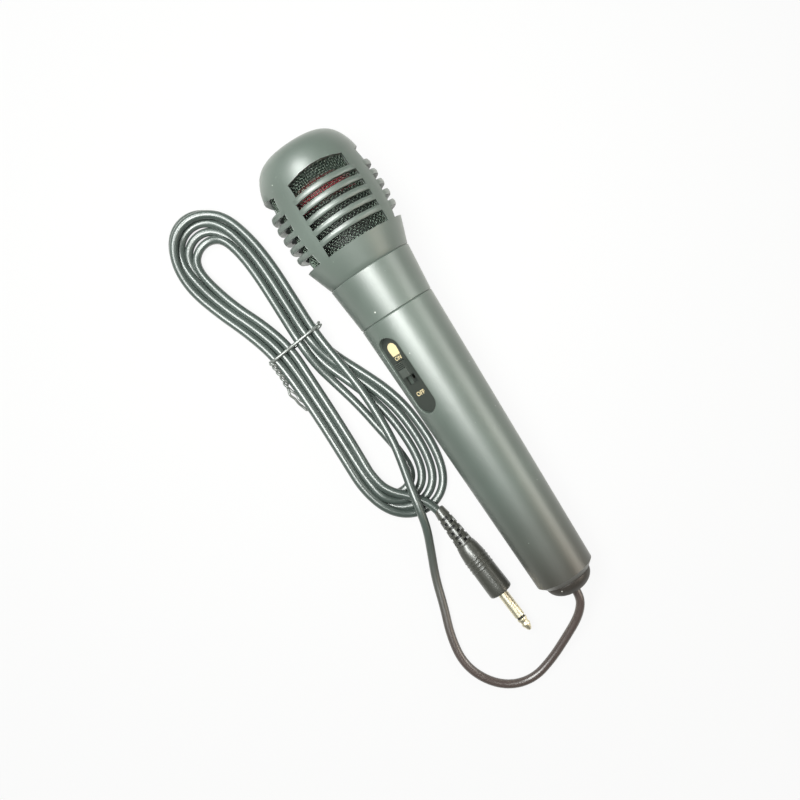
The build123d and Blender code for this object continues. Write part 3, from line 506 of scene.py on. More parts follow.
# ---------------------------------------------------------------- cord
@dataclass
class Cord:
    """The whole lead as one NURBS spline: from the tail, five turns of the tied hank, and on to the plug.

    A turn is a loop of stations. Each station has the place of its outermost and its innermost lane on
    the floor, and each strand lies at its own share of the way between them, on the floor or on the
    strands below, so the turns differ in size and fan out away from the tie. Layers are closer than a
    diameter, so strands that cross or lie side by side sink a little into each other.
    """

    exit: tuple[float, float, float] = (-0.08597, 0.0, 0.0099103)
    radius: float = 0.0015
    length: float = 1.5
    lead: tuple[tuple[float, float, float], ...] = (
        (-85.97, 0.0, 9.910), (-88.568, 0.0, 9.752), (-91.9, 1.3, 8.9), (-95.6, 4.9, 7.2), (-99.4, 11.3, 5.0),
        (-103.4, 18.9, 3.0), (-106.2, 27.6, 1.7), (-104.0, 36.0, 1.52), (-97.6, 42.2, 1.5),
        (-88.8, 45.4, 1.5),
        (-78.8, 44.0, 1.5), (-69.0, 40.4, 1.54), (-59.4, 37.6, 1.7), (-50.6, 33.8, 3.4),
    )
    # How the lead climbs on to the turns and runs up the right arm on top of them.
    climb: tuple[tuple[float, float, float], ...] = (
        (-43.6, 30.9, 5.9), (-37.4, 29.4, 7.5), (-30.6, 28.2, 7.5), (-22.0, 26.2, 5.9), (-12.0, 24.2, 4.8),
    )
    # How the innermost turn leaves over the others and goes to the plug.
    last: tuple[tuple[float, float, float], ...] = (
        (-25.4, 35.2, 4.7), (-31.8, 28.6, 4.6), (-37.2, 25.0, 4.5), (-43.6, 23.9, 4.2), (-54.15, 22.83, 4.2),
    )
    # (outer lane x, y), (inner lane x, y), shares from outer to inner of strands 0-4, layer of strands 0-4.
    stations: tuple[tuple[Any, ...], ...] = (
        ((-33.0, 16.6), (-24.4, 24.5), (0.8, 0.0, 0.33, 0.66, 1.0), (2, 0, 0, 0, 0)),
        ((-22.0, 13.5), (-16.6, 24.4), (0.8, 0.0, 0.3, 0.6, 1.0), (1, 0, 0, 0, 0)),
        ((-7.0, 13.9), (-6.4, 26.0), (0.8, 0.0, 0.25, 0.53, 1.0), (1, 0, 0, 0, 0)),
        ((3.0, 16.2), (4.0, 27.6), (0.66, 0.0, 0.27, 0.55, 1.0), (1.05, 0, 0, 0, 0)),
        ((12.5, 20.2), (14.5, 30.2), (0.42, 0.0, 0.3, 0.62, 1.0), (1.1, 0, 0, 0, 0)),
        ((23.0, 24.6), (23.5, 32.4), (0.12, 0.08, 0.42, 0.72, 1.0), (1.2, 0, 0.5, 0, 0.6)),
        ((33.0, 26.6), (33.0, 32.9), (0.0, 0.25, 0.5, 0.75, 1.0), (1.36, 0.36, 1.36, 0.36, 1.36)),
        ((46.0, 26.5), (46.0, 32.8), (0.0, 0.25, 0.5, 0.75, 1.0), (1, 0, 1, 0, 1)),
        ((60.0, 26.4), (60.0, 32.7), (0.0, 0.25, 0.5, 0.75, 1.0), (1, 0, 1, 0, 1)),
        ((71.5, 27.6), (69.5, 33.6), (0.0, 0.25, 0.5, 0.75, 1.0), (1, 0, 1, 0, 1)),
        ((82.2, 30.8), (76.2, 35.7), (0.0, 0.16, 0.46, 0.73, 1.0), (1.05, 0, 0.7, 0, 0.65)),
        ((88.3, 36.6), (78.9, 39.5), (0.1, 0.02, 0.35, 0.67, 1.0), (1, 0, 0.15, 0, 0.1)),
        ((90.0, 43.4), (78.6, 43.9), (0.14, 0.0, 0.33, 0.66, 1.0), (1, 0, 0, 0, 0)),
        ((87.0, 50.1), (75.9, 47.5), (0.14, 0.0, 0.33, 0.66, 1.0), (1, 0, 0, 0, 0)),
        ((79.0, 54.3), (71.5, 48.5), (0.08, 0.03, 0.36, 0.67, 1.0), (1, 0, 0.45, 0, 0.4)),
        ((68.0, 54.5), (64.8, 47.4), (0.02, 0.2, 0.5, 0.75, 1.0), (1, 0, 0.95, 0, 0.95)),
        ((56.0, 50.7), (54.6, 44.4), (0.0, 0.25, 0.5, 0.75, 1.0), (1, 0, 1, 0, 1)),
        ((44.6, 46.0), (44.4, 39.8), (0.0, 0.25, 0.5, 0.75, 1.0), (1, 0, 1, 0, 1)),
        ((33.0, 42.6), (33.0, 36.4), (0.0, 0.25, 0.5, 0.75, 1.0), (1.36, 0.36, 1.36, 0.36, 1.36)),
        ((20.0, 41.7), (20.0, 36.3), (0.0, 0.12, 0.5, 0.88, 1.0), (1.13, 0, 0.8, 0, 1.13)),
        ((6.0, 41.4), (6.0, 36.2), (0.0, 0.04, 0.5, 0.96, 1.0), (1.13, 0, 0.68, 0, 1.13)),
        ((-9.0, 41.6), (-9.0, 36.4), (0.0, 0.04, 0.5, 0.96, 1.0), (1.13, 0, 0.68, 0, 1.13)),
        ((-20.5, 41.4), (-17.6, 36.9), (-0.1, 0.1, 0.55, 1.0, 1.0), (1.0, 0, 0.8, 0, 1.2)),
        ((-31.0, 38.6), (-24.8, 37.0), (-0.05, 0.28, 0.62, 1.0, 1.0), (0.8, 0, 0.8, 0, 1.2)),
        ((-37.3, 32.0), (-28.3, 33.2), (0.0, 0.34, 0.67, 1.0, 1.0), (0.2, 0, 0.2, 0, 1.2)),
        ((-37.9, 23.4), (-28.2, 28.1), (0.0, 0.33, 0.66, 1.0, 1.3), (0, 0, 0, 0, 0)),
    )
    layer_rise: float = 2.65
    turns: int = 5
    first_station: int = 3  # where the lead, on top of the others, joins the outermost strand

    def station(self, index: int, strand: int) -> tuple[float, float, float]:
        """Place of one strand at one station, in millimetres: outer + share (inner - outer)."""
        outer, inner, shares, layers = self.stations[index]
        share = shares[strand]
        height = self.radius / MM + self.layer_rise * layers[strand]
        return (outer[0] + share * (inner[0] - outer[0]), outer[1] + share * (inner[1] - outer[1]), height)

    def route(self) -> Array:
        """Control points of the whole cord, in metres."""
        count = len(self.stations)
        points = [*self.lead, *self.climb]
        points += [self.station(index, 0) for index in range(self.first_station, count - 1)]
        for strand in range(1, self.turns):
            points.append(self.station(count - 1, strand - 1))
            points += [self.station(index, strand) for index in range(count - 1)]
        points = points[:-2] + list(self.last)
        return MM * np.array(points, float)

    def build(self, finishes: Finishes) -> bpy.types.Object:
        """Makes the spline, its round section and its finish."""
        curve = bpy.data.curves.new("lead", "CURVE")
        curve.dimensions = "3D"
        spline = curve.splines.new("NURBS")
        points = self.route()
        spline.points.add(len(points) - 1)
        spline.points.foreach_set("co", np.column_stack([points, np.ones(len(points))]).ravel())
        spline.order_u = 3
        spline.use_endpoint_u = True
        spline.resolution_u = 8
        spline.use_smooth = True
        curve.resolution_u = 8
        curve.bevel_depth = self.radius
        curve.bevel_resolution = 4
        curve.use_fill_caps = True
        lead = added("lead", curve)
        curve.materials.append(finishes["cord_sheath"])
        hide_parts("cord_lead", "cord_hank", "cord_end")
        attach(lead, "casing")
        return lead


# ---------------------------------------------------------------- head
@dataclass
class HeadShell:
    """Moulded head: one closed shell with four barred windows."""

    foot: float = 125.6
    groove: float = 0.3
    collar_r: float = 14.7
    bore_r: float = 13.1
    neck_top: float = 130.8
    wall: float = 1.8
    flare: float = 134.6
    belly_r: float = 18.75
    belly: float = 146.9
    curve_r: float = 79.0
    barrel_top: float = 160.0
    shoulder: tuple[float, float] = (14.8, 167.9)
    crown: tuple[float, float] = (9.9, 171.3)
    top: float = 171.9
    # How far the middles of the shoulder's and the crown's edges stand off their chords, (radius, height).
    shoulder_swell: tuple[float, float] = (0.5, 0.17)
    crown_swell: tuple[float, float] = (0.35, 0.35)
    windows: int = 4
    first_turn: float = 6.0
    half_width: float = 11.0
    top_half_width: float = 9.8
    # Low and high edges of the six openings, from the bottom up, and how far each edge arches.
    edges: tuple[float, ...] = (
        134.2, 137.85, 139.6, 141.6, 143.35, 145.35, 147.1, 149.1, 150.85, 152.85, 154.6, 159.1,
    )
    arches: tuple[float, ...] = (0.15, 0.5, 0.5, 0.5, 0.5, 0.5, 0.5, 0.5, 0.5, 0.5, 0.5, 1.6)
    bar_crown: float = 0.24
    # Rows below the openings with their arch, rows of the shoulder with their share of the last arch,
    # and rows of the crown.
    foot_rows: tuple[tuple[float, float], ...] = (
        (127.4, 0.0), (129.2, 0.0), (131.0, 0.0), (132.6, 0.02), (133.7, 0.08),
    )
    shoulder_rows: tuple[tuple[float, float], ...] = (
        (159.8, 0.85), (160.9, 0.6), (162.3, 0.36), (163.8, 0.15), (165.4, 0.04), (166.6, 0.0),
    )
    crown_rows: tuple[float, ...] = (167.9, 168.7, 169.4, 170.0, 170.5, 170.9, 171.3)
    dome_rings: int = 4
    roof_rings: int = 2

    def barrel_radius(self, height: Array) -> Array:
        """R - C + sqrt(C^2 - (z - z0)^2), the big arc of the barrel."""
        return self.belly_r - self.curve_r + np.sqrt(self.curve_r**2 - (height - self.belly) ** 2)

    def skin(self) -> tuple[Array, Array]:
        """Dense (radius, height) outline of the outer skin above the groove, by height."""
        flare_r = float(self.barrel_radius(np.array(self.flare)))
        top_r = float(self.barrel_radius(np.array(self.barrel_top)))
        rise = np.linspace(self.flare, self.barrel_top, 60)
        barrel_end, shoulder_end = np.array([top_r, self.barrel_top]), np.array(self.shoulder)
        shoulder_mid = (barrel_end + shoulder_end) / 2 + self.shoulder_swell
        crown_mid = (shoulder_end + np.array(self.crown)) / 2 + self.crown_swell
        foot = np.array([[self.collar_r, self.foot + self.groove], [flare_r, self.flare]])
        barrel = np.stack([self.barrel_radius(rise), rise], -1)
        shoulder = arc_through((top_r, self.barrel_top), shoulder_mid, self.shoulder, 16)
        crown = arc_through(self.shoulder, crown_mid, self.crown, 14)
        line = np.concatenate([foot, barrel[1:], shoulder[1:], crown[1:]])
        return line[:, 0], line[:, 1]

    def rows(self) -> tuple[Array, Array, Array, Array]:
        """Heights of the rows up the wall, with each row's arch, the opening it starts (-1 for none)
        and how far it stands proud as the rounded face of a bar."""
        table: list[tuple[float, float, int, float]] = [(self.foot + self.groove, 0.0, -1, 0.0)]
        table += [(height, arch, -1, 0.0) for height, arch in self.foot_rows]
        marks = list(zip(self.edges, self.arches))
        for index, (low, arch) in enumerate(marks):
            opening = index // 2 if index % 2 == 0 else -1
            table.append((low, arch, opening, 0.0))
            if index + 1 == len(marks):
                break
            high, next_arch = marks[index + 1]
            for share in np.linspace(0, 1, 8 if opening < 0 else 4)[1:-1]:
                proud = self.bar_crown * (1 - (2 * share - 1) ** 2) if opening < 0 else 0.0
                table.append((low + share * (high - low), arch + share * (next_arch - arch), opening, proud))
        table += [(height, self.arches[-1] * share, -1, 0.0) for height, share in self.shoulder_rows]
        table += [(height, 0.0, -1, 0.0) for height in self.crown_rows]
        heights, arches, opens, stands = (np.array(column) for column in zip(*table))
        return heights, arches, opens, stands

    def columns(self) -> tuple[Array, Array, Array]:
        """Each column's place across its window, its share of the pillar to the next one, and its window."""
        inner = np.array([-11, -10.6, -10.2, -9.8, -9, -8, -7, -6, -5, -4, -3, -2, -1, 0.0])
        across = np.concatenate([inner, -inner[-2::-1]])
        pillar = np.linspace(0, 1, 8)[1:-1]
        place = np.concatenate([across, np.full(len(pillar), self.half_width)])
        share = np.concatenate([np.zeros(len(across)), pillar])
        count = self.windows
        return np.tile(place, count), np.tile(share, count), np.repeat(np.arange(count), len(place))

    def surface(self, radius_at: Callable[[Array], Array], heights: Array, arches: Array,
                proud: Array) -> Array:
        """Points of one skin.

        The column's angle is its window's turn + asin(across / r), with r held at the window's ends
        beyond them, so the sides of an opening are square to its window; between windows the angle is
        shared out evenly. A row's height is its own + arch (1 - (across / half width)^2).
        """
        across, share, window = self.columns()
        pitch = 2 * math.pi / self.windows
        level = np.clip(heights, self.edges[0], self.edges[-1])
        held = radius_at(level)[:, None]
        swing = np.arcsin(np.clip(across[None, :] / held, -1, 1))
        edge = np.arcsin(np.clip(self.half_width / held, -1, 1))
        angle = swing + share[None, :] * (pitch - 2 * edge)
        angle = angle + window[None, :] * pitch + math.radians(self.first_turn)
        inside = (share == 0)[None, :]
        half = np.where(arches > 0.9, self.top_half_width, self.half_width)[:, None]
        bow = np.clip(1 - (across[None, :] / half) ** 2, 0, 1) * inside
        height = heights[:, None] + arches[:, None] * bow
        edge_fade = np.clip((self.half_width - np.abs(across[None, :])) / 1.1, 0, 1) * inside
        radius = radius_at(height) + proud[:, None] * np.sqrt(edge_fade)
        return polar(radius, angle, height)

    def build(self, finishes: Finishes) -> bpy.types.Object:
        """Joins the outer and inner skins round the openings, the foot and the top."""
        skin_r, skin_z = self.skin()
        heights, arches, opens, proud = self.rows()
        outer = self.surface(lambda z: np.interp(z, skin_z, skin_r), heights, arches, proud)

        def hollow_radius(height: Array) -> Array:
            """Radius of the hollow: the neck's bore, then the skin less the wall."""
            flare_r = float(self.barrel_radius(np.array(self.flare))) - self.wall
            z = [self.foot, self.neck_top, self.neck_top + 0.01, self.flare, self.belly, self.barrel_top,
                 167.0, 169.3]
            r = [self.bore_r, self.bore_r, 14.68, flare_r, self.belly_r - self.wall, 15.85, 13.2, 11.2]
            return np.interp(height, z, r)

        drop = np.interp(heights, [160.0, 167.0, 171.3], [0.0, 0.5, self.wall])
        inner = self.surface(hollow_radius, heights - drop, arches, 0 * proud)
        rows, columns = outer.shape[:2]
        across, share, _ = self.columns()
        middle = (across + np.roll(across, -1)) / 2
        plain = (share == 0) & (np.roll(share, -1) == 0)
        half = np.where(opens == len(self.edges) // 2 - 1, self.top_half_width, self.half_width)
        cut = (opens[:-1, None] >= 0) & plain[None, :] & (np.abs(middle)[None, :] < half[:-1, None])

        faces = grid_faces(rows, columns, closed=True)
        kept = ~cut.ravel()
        count = rows * columns
        outside = faces[kept]
        inside = faces[kept][:, ::-1] + count
        i, j = np.nonzero(cut)
        walls = []
        for rise, run, (a, b) in (
            (-1, 0, ((0, 0), (0, 1))), (1, 0, ((1, 1), (1, 0))),
            (0, -1, ((1, 0), (0, 0))), (0, 1, ((0, 1), (1, 1))),
        ):
            solid = ~cut[i + rise, (j + run) % columns]
            k, m = i[solid], j[solid]
            first = (k + a[0]) * columns + (m + a[1]) % columns
            second = (k + b[0]) * columns + (m + b[1]) % columns
            walls.append(np.stack([second, first, first + count, second + count], -1))
        ring = np.arange(columns)
        groove = polar(self.collar_r - self.groove, np.arctan2(outer[0, :, 1], outer[0, :, 0]), self.foot)
        bore = polar(self.bore_r, np.arctan2(inner[0, :, 1], inner[0, :, 0]), self.foot)
        groove_at, bore_at, dome_at = 2 * count, 2 * count + columns, 2 * count + 2 * columns
        quads = np.concatenate([outside, inside, *walls]).tolist()
        for low, high in ((groove_at, 0), (bore_at, groove_at), (count, bore_at)):
            quads += strip(low + ring, high + ring)
        roof_top = self.top - self.wall
        dome = self.dome(outer[-1], self.top, self.dome_rings)
        roof = self.dome(inner[-1], roof_top, self.roof_rings)
        points = np.concatenate([outer.reshape(-1, 3), inner.reshape(-1, 3), groove, bore,
                                 dome, [[0, 0, self.top]], roof, [[0, 0, roof_top]]])
        rim = (rows - 1) * columns
        extra = self.dome_faces(rim, dome_at, columns, self.dome_rings)
        extra += [face[::-1] for face in
                  self.dome_faces(count + rim, dome_at + len(dome) + 1, columns, self.roof_rings)]
        part = Part("head_shell", AXIS.place(points), [*quads, *extra])
        return part.bevel(0.22, 2).finish(finishes["satin_shell"], "shell_plastic", "casing", "head_grille")

    def dome(self, rim: Array, top: float, rings: int) -> Array:
        """Rings of a shallow dome inside a rim: z = rim + rise (1 - (r / rim r)^2)."""
        share = (1 - np.arange(1, rings + 1) / (rings + 1))[:, None]
        flat = rim[None, :, :2] * share[..., None]
        height = rim[0, 2] + (top - rim[0, 2]) * (1 - share**2)
        return np.concatenate([flat, np.broadcast_to(height, flat.shape[:2])[..., None]], -1).reshape(-1, 3)

    def dome_faces(self, rim: int, start: int, columns: int, rings: int) -> list[list[int]]:
        """Faces of a dome whose rings follow one another from `start` and end in one pole."""
        ring = np.arange(columns)
        pole = np.full(columns, start + rings * columns)
        return strips([rim + ring, *(start + k * columns + ring for k in range(rings)), pole])


@dataclass
class MeshScreen:
    """Woven wire mesh rolled into a tube behind the windows."""

    radius: float = 15.1
    low: float = 133.6
    high: float = 161.2
    pitch: float = 0.78
    wire: float = 0.14
    sides: int = 4

    def build(self, finishes: Finishes) -> bpy.types.Object:
        """Hoops and uprights that pass over and under each other.

        A hoop's radius is R +- w cos(n a / 2), for n uprights, and an upright's is R +- w sin(pi z / pitch),
        with the sign changing from one wire to the next.
        """
        hoops = int((self.high - self.low) / self.pitch)
        uprights = 2 * int(math.pi * self.radius / self.pitch)
        turn = np.linspace(0, 2 * math.pi, 2 * uprights, endpoint=False)
        wires = []
        for index in range(hoops):
            sign = 1 if index % 2 else -1
            radius = self.radius + sign * self.wire * np.cos(turn * uprights / 2)
            height = self.low + (index + 0.5) * self.pitch
            wires.append(tube_mesh(polar(radius, turn, height), self.wire, self.sides, closed=True))
        rise = self.low + self.pitch * (0.5 + np.arange(0, hoops - 0.5, 0.5))
        wave = np.cos(math.pi * (rise - self.low) / self.pitch - math.pi / 2)
        for index in range(uprights):
            sign = -1 if index % 2 else 1
            angle = 2 * math.pi * index / uprights
            radius = self.radius + sign * self.wire * wave
            wires.append(tube_mesh(polar(radius, angle, rise), self.wire, self.sides))
        points, faces = joined(wires)
        part = Part("wire_mesh", AXIS.place(points), faces)
        return part.finish(finishes["mesh_wire"], "mesh_wire", "casing", "mesh_screen")


# ---------------------------------------------------------------- casing
@dataclass(frozen=True)
class Turned:
    """A closed solid of revolution, from the (radius, height) corners of its half section.

    The corners go up the outside and come back inside or along the axis, where a corner is one pole.
    """

    name: str
    corners: tuple[tuple[float, float], ...]
    frame: AxisFrame = AXIS
    rounding: float = 0.15
    columns: int = 96

    def part(self) -> Part:
        """Makes the rings, joins them round and rounds the sharp edges."""
        angle = np.linspace(0, 2 * math.pi, self.columns, endpoint=False)
        points: list[Array] = []
        loops: list[Array] = []
        count = 0
        for radius, height in self.corners:
            pole = radius == 0
            points.append(np.array([[0.0, 0.0, height]]) if pole else polar(radius, angle, height))
            loops.append(np.full(self.columns, count) if pole else count + np.arange(self.columns))
            count += len(points[-1])
        part = Part(self.name, self.frame.place(np.concatenate(points)), strips(loops, closed=True))
        return part.bevel(self.rounding, 3)


def quarter(radius: float, height: float, size: float) -> list[tuple[float, float]]:
    """Corners of a quarter round about (radius, height), from the side to the end."""
    angles = np.radians(np.linspace(0, 90, 5))
    return [(radius + size * math.cos(a), height + size * math.sin(a)) for a in angles]


@dataclass(frozen=True)
class SwitchFace:
    """The flat of the switch: `across` the handle, `along` it and `out` from its axis, in millimetres."""

    middle: float = 90.0
    turn: float = math.radians(-46.0)
    plate_top: float = 11.26
    recess_floor: float = 10.66
    seat_bottom: float = 9.06
    knob_rest: float = 2.35
    knob_top: float = 12.9
    knob_half: tuple[float, float] = (1.75, 2.65)  # across, along
    knob_sunk: float = 0.3
    ridges: int = 4
    ridge_pitch: float = 0.56
    ridge_depth: float = 0.4
    ink_sunk: float = 0.02
    ink_proud: float = 0.03
    patch_r: float = 2.0
    patch_middle: float = 9.75

    def local(self, across: Array, along: Array, out: Array) -> Array:
        """Points of the microphone's own frame: out r + across t, with r and t turned by `turn`."""
        across, along, out = np.broadcast_arrays(across, along, out)
        cosine, sine = math.cos(self.turn), math.sin(self.turn)
        return np.stack([out * cosine - across * sine, out * sine + across * cosine, self.middle + along], -1)

    def mark(self, name: str, outline: Array, finishes: Finishes) -> bpy.types.Object:
        """A thin printed patch on the plate with a closed outline of (across, along) points."""
        count = len(outline)
        levels = (self.plate_top - self.ink_sunk, self.plate_top + self.ink_proud)
        points = np.concatenate([self.local(outline[:, 0], outline[:, 1], level) for level in levels])
        low = np.arange(count)
        faces = [*strip(low, low + count), (low + count).tolist(), low[::-1].tolist()]
        part = Part(name, AXIS.place(points), faces, smooth=False)
        return part.finish(finishes["label_ink"], "shell_plastic", "casing")

    def word(self, text: str, height: float, along: float, finishes: Finishes) -> bpy.types.Object:
        """A printed word on the plate, `height` tall, read from the tail, with its middle at `along`."""
        curve = bpy.data.curves.new(text, "FONT")
        curve.body, curve.extrude, curve.offset, curve.resolution_u = text, 0.02, 0.012, 3
        made = bpy.data.objects.new(text, curve)
        mesh = bpy.data.meshes.new_from_object(made)
        flat = np.empty(3 * len(mesh.vertices))
        mesh.vertices.foreach_get("co", flat)
        flat = flat.reshape(-1, 3)
        middle, size = (flat.max(0) + flat.min(0)) / 2, np.ptp(flat[:, 1])
        place = (flat - middle) * height / size
        points = self.local(place[:, 0] * 1.05, place[:, 1] + along, self.plate_top + 0.02 + place[:, 2])
        faces = [list(polygon.vertices) for polygon in mesh.polygons]
        bpy.data.objects.remove(made)
        bpy.data.meshes.remove(mesh)
        part = Part(f"word_{text.lower()}", AXIS.place(points), faces, smooth=False)
        return part.finish(finishes["label_ink"], "shell_plastic", "casing")

    def slide(self, finishes: Finishes) -> bpy.types.Object:
        """Thumb slide: a block with four fine ridges across its head end and a flat behind them."""
        half, reach = self.knob_half
        low, high = self.knob_rest - reach, self.knob_rest + reach
        bottom, top = self.seat_bottom + self.knob_sunk, self.knob_top
        side = [(low, bottom), (high, bottom), (high, top - 0.35)]
        for ridge in range(self.ridges):
            start = high - 0.12 - self.ridge_pitch * ridge
            valley = top - self.ridge_depth
            side += [(start, top), (start - 0.22, top), (start - 0.34, valley), (start - 0.46, valley)]
        side += [(high - 2.4, top - 0.12), (low + 0.2, top - 0.12), (low, top - 0.3)]
        along, out = np.array(side).T
        points = np.concatenate([self.local(-half, along, out), self.local(half, along, out)])
        count = len(side)
        first = np.arange(count)
        faces = [*strip(first, first + count), first[::-1].tolist(), (first + count).tolist()]
        part = Part("thumb_slide", AXIS.place(points), faces, smooth=False).outward().bevel(0.07, 2)
        return part.finish(finishes["thumb_slide"], "shell_plastic", "switch_slide_body", "switch_knob")

    def build(self, finishes: Finishes) -> None:
        """The slide, a round-topped patch for ON, and the words ON and OFF."""
        arch = np.radians(np.linspace(0, 180, 15))
        dome = np.stack([self.patch_r * np.cos(arch), self.patch_middle + self.patch_r * np.sin(arch)], -1)
        self.mark("on_patch", np.concatenate([[[-1.72, 7.35], [1.72, 7.35]], dome]), finishes)
        self.word("ON", 1.35, 6.35, finishes)
        self.word("OFF", 1.5, -6.9, finishes)
        self.slide(finishes)


@dataclass(frozen=True)
class HandleShell:
    """Tapered tube with a round-ended recess for the switch and the seat under it."""

    face: SwitchFace = SwitchFace()
    columns: int = 112
    reach: int = 11
    end_middle: float = 10.0
    recess_r: float = 4.0
    opening_r: float = 2.8
    rim_rounding: float = 0.3
    wall: float = 2.1
    foot: float = 6.9
    foot_r: float = 10.35
    spread: float = 2.85  # gain of radius over the taper's length
    taper: float = 102.5
    patch: tuple[int, int] = (6, 28)  # first and last grid row of the patch that holds the recess

    def radius(self, height: Array) -> Array:
        """Outer radius of the straight taper."""
        return self.foot_r + self.spread * (height - self.foot) / self.taper

    def angles(self) -> Array:
        """Angle of every column; the recess lies between the first and column 2 * reach."""
        step = 2 * math.pi / self.columns
        return self.face.turn + (np.arange(self.columns) - self.reach) * step

    def border(self, first: int, last: int) -> Array:
        """Corner numbers round the patch that holds the recess, counterclockwise seen from outside."""
        right = 2 * self.reach
        rows, across = np.arange(first, last), np.arange(right)
        return np.concatenate([first * self.columns + across, rows * self.columns + right,
                               last * self.columns + right - across, (last - (rows - first)) * self.columns])

    def ovals(self, border: Array, offset: float) -> tuple[Array, Array]:
        """(across, along) of the oval at a distance from the recess's edge, one point for each border point.

        Each is the border point's nearest point on the oval: straight in from the side, or towards the
        centre of the round end.
        """
        turn = np.arctan2(border[:, 1], border[:, 0]) - self.face.turn
        across = np.hypot(border[:, 0], border[:, 1]) * np.sin(turn)
        along = border[:, 2] - self.face.middle
        centre = np.clip(along, -self.end_middle, self.end_middle)
        length = np.hypot(across, along - centre)
        size = self.recess_r + offset
        return across / length * size, centre + (along - centre) / length * size

    def lerped(self, border: Array, offset: float, share: float, inset: float) -> Array:
        """Ring on a skin between the oval (share 0) and the border (share 1), in angle and height."""
        across, along = self.ovals(border, offset)
        height = self.face.middle + along
        angle = self.face.turn + np.arcsin(across / (self.radius(height) - inset))
        beside = np.arctan2(border[:, 1], border[:, 0]) - self.face.turn
        outer = self.face.turn + np.remainder(beside + math.pi, 2 * math.pi) - math.pi
        angle = angle + share * (outer - angle)
        height = height + share * (border[:, 2] - height)
        return polar(self.radius(height) - inset, angle, height)

    def build(self, finishes: Finishes) -> bpy.types.Object:
        """Outer and inner grids with a hole each, joined through the recess, the foot and the socket."""
        face, columns = self.face, self.columns
        outer_z = np.concatenate([[self.foot, 17, 28, 39, 50, 61], np.linspace(72.4, 107.6, 23), [109.1]])
        inner_z = np.concatenate([[9.8, 20, 31, 42, 53, 64], np.linspace(75.6, 104.4, 23), [104.6]])
        (first, last), rows = self.patch, len(outer_z)
        angles = self.angles()
        outer, inner = (
            polar(self.radius(z)[:, None] - inset, angles[None, :], z[:, None]).reshape(-1, 3)
            for z, inset in ((outer_z, 0.0), (inner_z, self.wall))
        )
        cut = np.zeros((rows - 1, columns), bool)
        cut[first:last, : 2 * self.reach] = True
        kept = grid_faces(rows, columns, closed=True)[~cut.ravel()]
        count = rows * columns
        faces = [*kept.tolist(), *(kept[:, ::-1] + count).tolist()]

        border = self.border(first, last)
        out_b, in_b = outer[border], inner[border]
        rings = [self.lerped(out_b, self.rim_rounding, share, 0) for share in (0.72, 0.46, 0.24, 0.08, 0.0)]
        for turn in np.radians((22.5, 45, 67.5, 90)):
            across, along = self.ovals(out_b, self.rim_rounding * (1 - math.sin(turn)))
            skin = np.sqrt(self.radius(face.middle + along) ** 2 - across**2)
            rings.append(face.local(across, along, skin - self.rim_rounding * (1 - math.cos(turn))))
        rings.append(face.local(*self.ovals(out_b, 0.0), face.recess_floor))
        lip = self.opening_r - self.recess_r
        across, along = self.ovals(out_b, lip)
        rings.append(face.local(across, along, face.recess_floor))
        rings += [self.lerped(in_b, lip, share, self.wall) for share in (0.0, 0.3, 0.65)]
        points = [outer, inner, *rings]
        loops = [border] + [2 * count + k * len(border) + np.arange(len(border)) for k in range(len(rings))]
        loops.append(border + count)
        faces += strips(loops)

        total = 2 * count + len(rings) * len(border)
        ends = ((12.9, 109.4), (11.5, 109.4), (11.5, 104.6)), ((6.8, 9.8), (6.8, 4.8), (8.1, 4.8))
        starts = ((rows - 1) * columns, count + (rows - 1) * columns), (count, 0)
        ring = np.arange(columns)
        for corners, (here, there) in zip(ends, starts):
            chain = [here + ring]
            for radius, height in corners:
                points.append(polar(radius, angles, height))
                chain.append(total + ring)
                total += columns
            chain.append(there + ring)
            faces += strips(chain)

        seat, corner = [], np.arange(4)
        for half_across, half_along, along, out in (
            (5.0, 14.6, 0.0, face.seat_bottom), (5.0, 14.6, 0.0, face.recess_floor - 0.05),
            (2.15, 4.4, 1.0, face.recess_floor - 0.05), (2.15, 4.4, 1.0, face.seat_bottom),
        ):
            sides = np.array([(-1, -1), (1, -1), (1, 1), (-1, 1)])
            points.append(face.local(sides[:, 0] * half_across, along + sides[:, 1] * half_along, out))
            seat.append(total + corner)
            total += 4
        faces += strips(seat, closed=True)
        part = Part("handle_shell", AXIS.place(np.concatenate(points)), faces)
        return part.bevel(0.25, 3, 35).finish(finishes["satin_shell"], "shell_plastic", "casing", "handle")


def casing_rings(finishes: Finishes) -> None:
    """The plain ring between the seams, the domed plug in the tail and the bulging front of the capsule."""
    collar = Turned("collar_ring", (
        (11.4, 104.7), (11.4, 109.4), (12.9, 109.4), (13.2, 109.7), (14.7, 125.3), (14.4, 125.6),
        (13.0, 125.6), (13.0, 130.8), (9.9, 130.8), (9.9, 104.7),
    ), columns=128, rounding=0.12)
    collar.part().finish(finishes["satin_shell"], "shell_plastic", "casing", "collar")
    lean = np.radians(np.linspace(0, 90, 13))
    dome = [(2.6 + 5.5 * math.sin(t), 4.8 * (1 - math.cos(t)) ** 0.9) for t in lean]
    tail = Turned("tail_dome", (
        (1.6, 0.0), *dome, (6.7, 4.8), (6.7, 11.3), (4.9, 11.3), (4.9, 1.8), (1.6, 1.8),
    ), rounding=0.18)
    tail.part().finish(finishes["shell_tail"], "shell_plastic", "casing", "tail_cap")
    bulge = np.radians(np.linspace(0, 90, 9))
    outside = [(11.0 * math.cos(t), 155.2 + 4.0 * math.sin(t)) for t in bulge[:-1]]
    inside = [(10.1 * math.cos(t), 154.6 + 3.7 * math.sin(t)) for t in bulge[-2::-1]]
    front = Turned("capsule_front", (
        (10.1, 150.0), (11.0, 150.0), *outside, (0.0, 159.2), (0.0, 158.3), *inside,
    ), rounding=0.1, columns=72)
    front.part().finish(finishes["capsule_red"], "capsule_red", "casing", "capsule_cap")


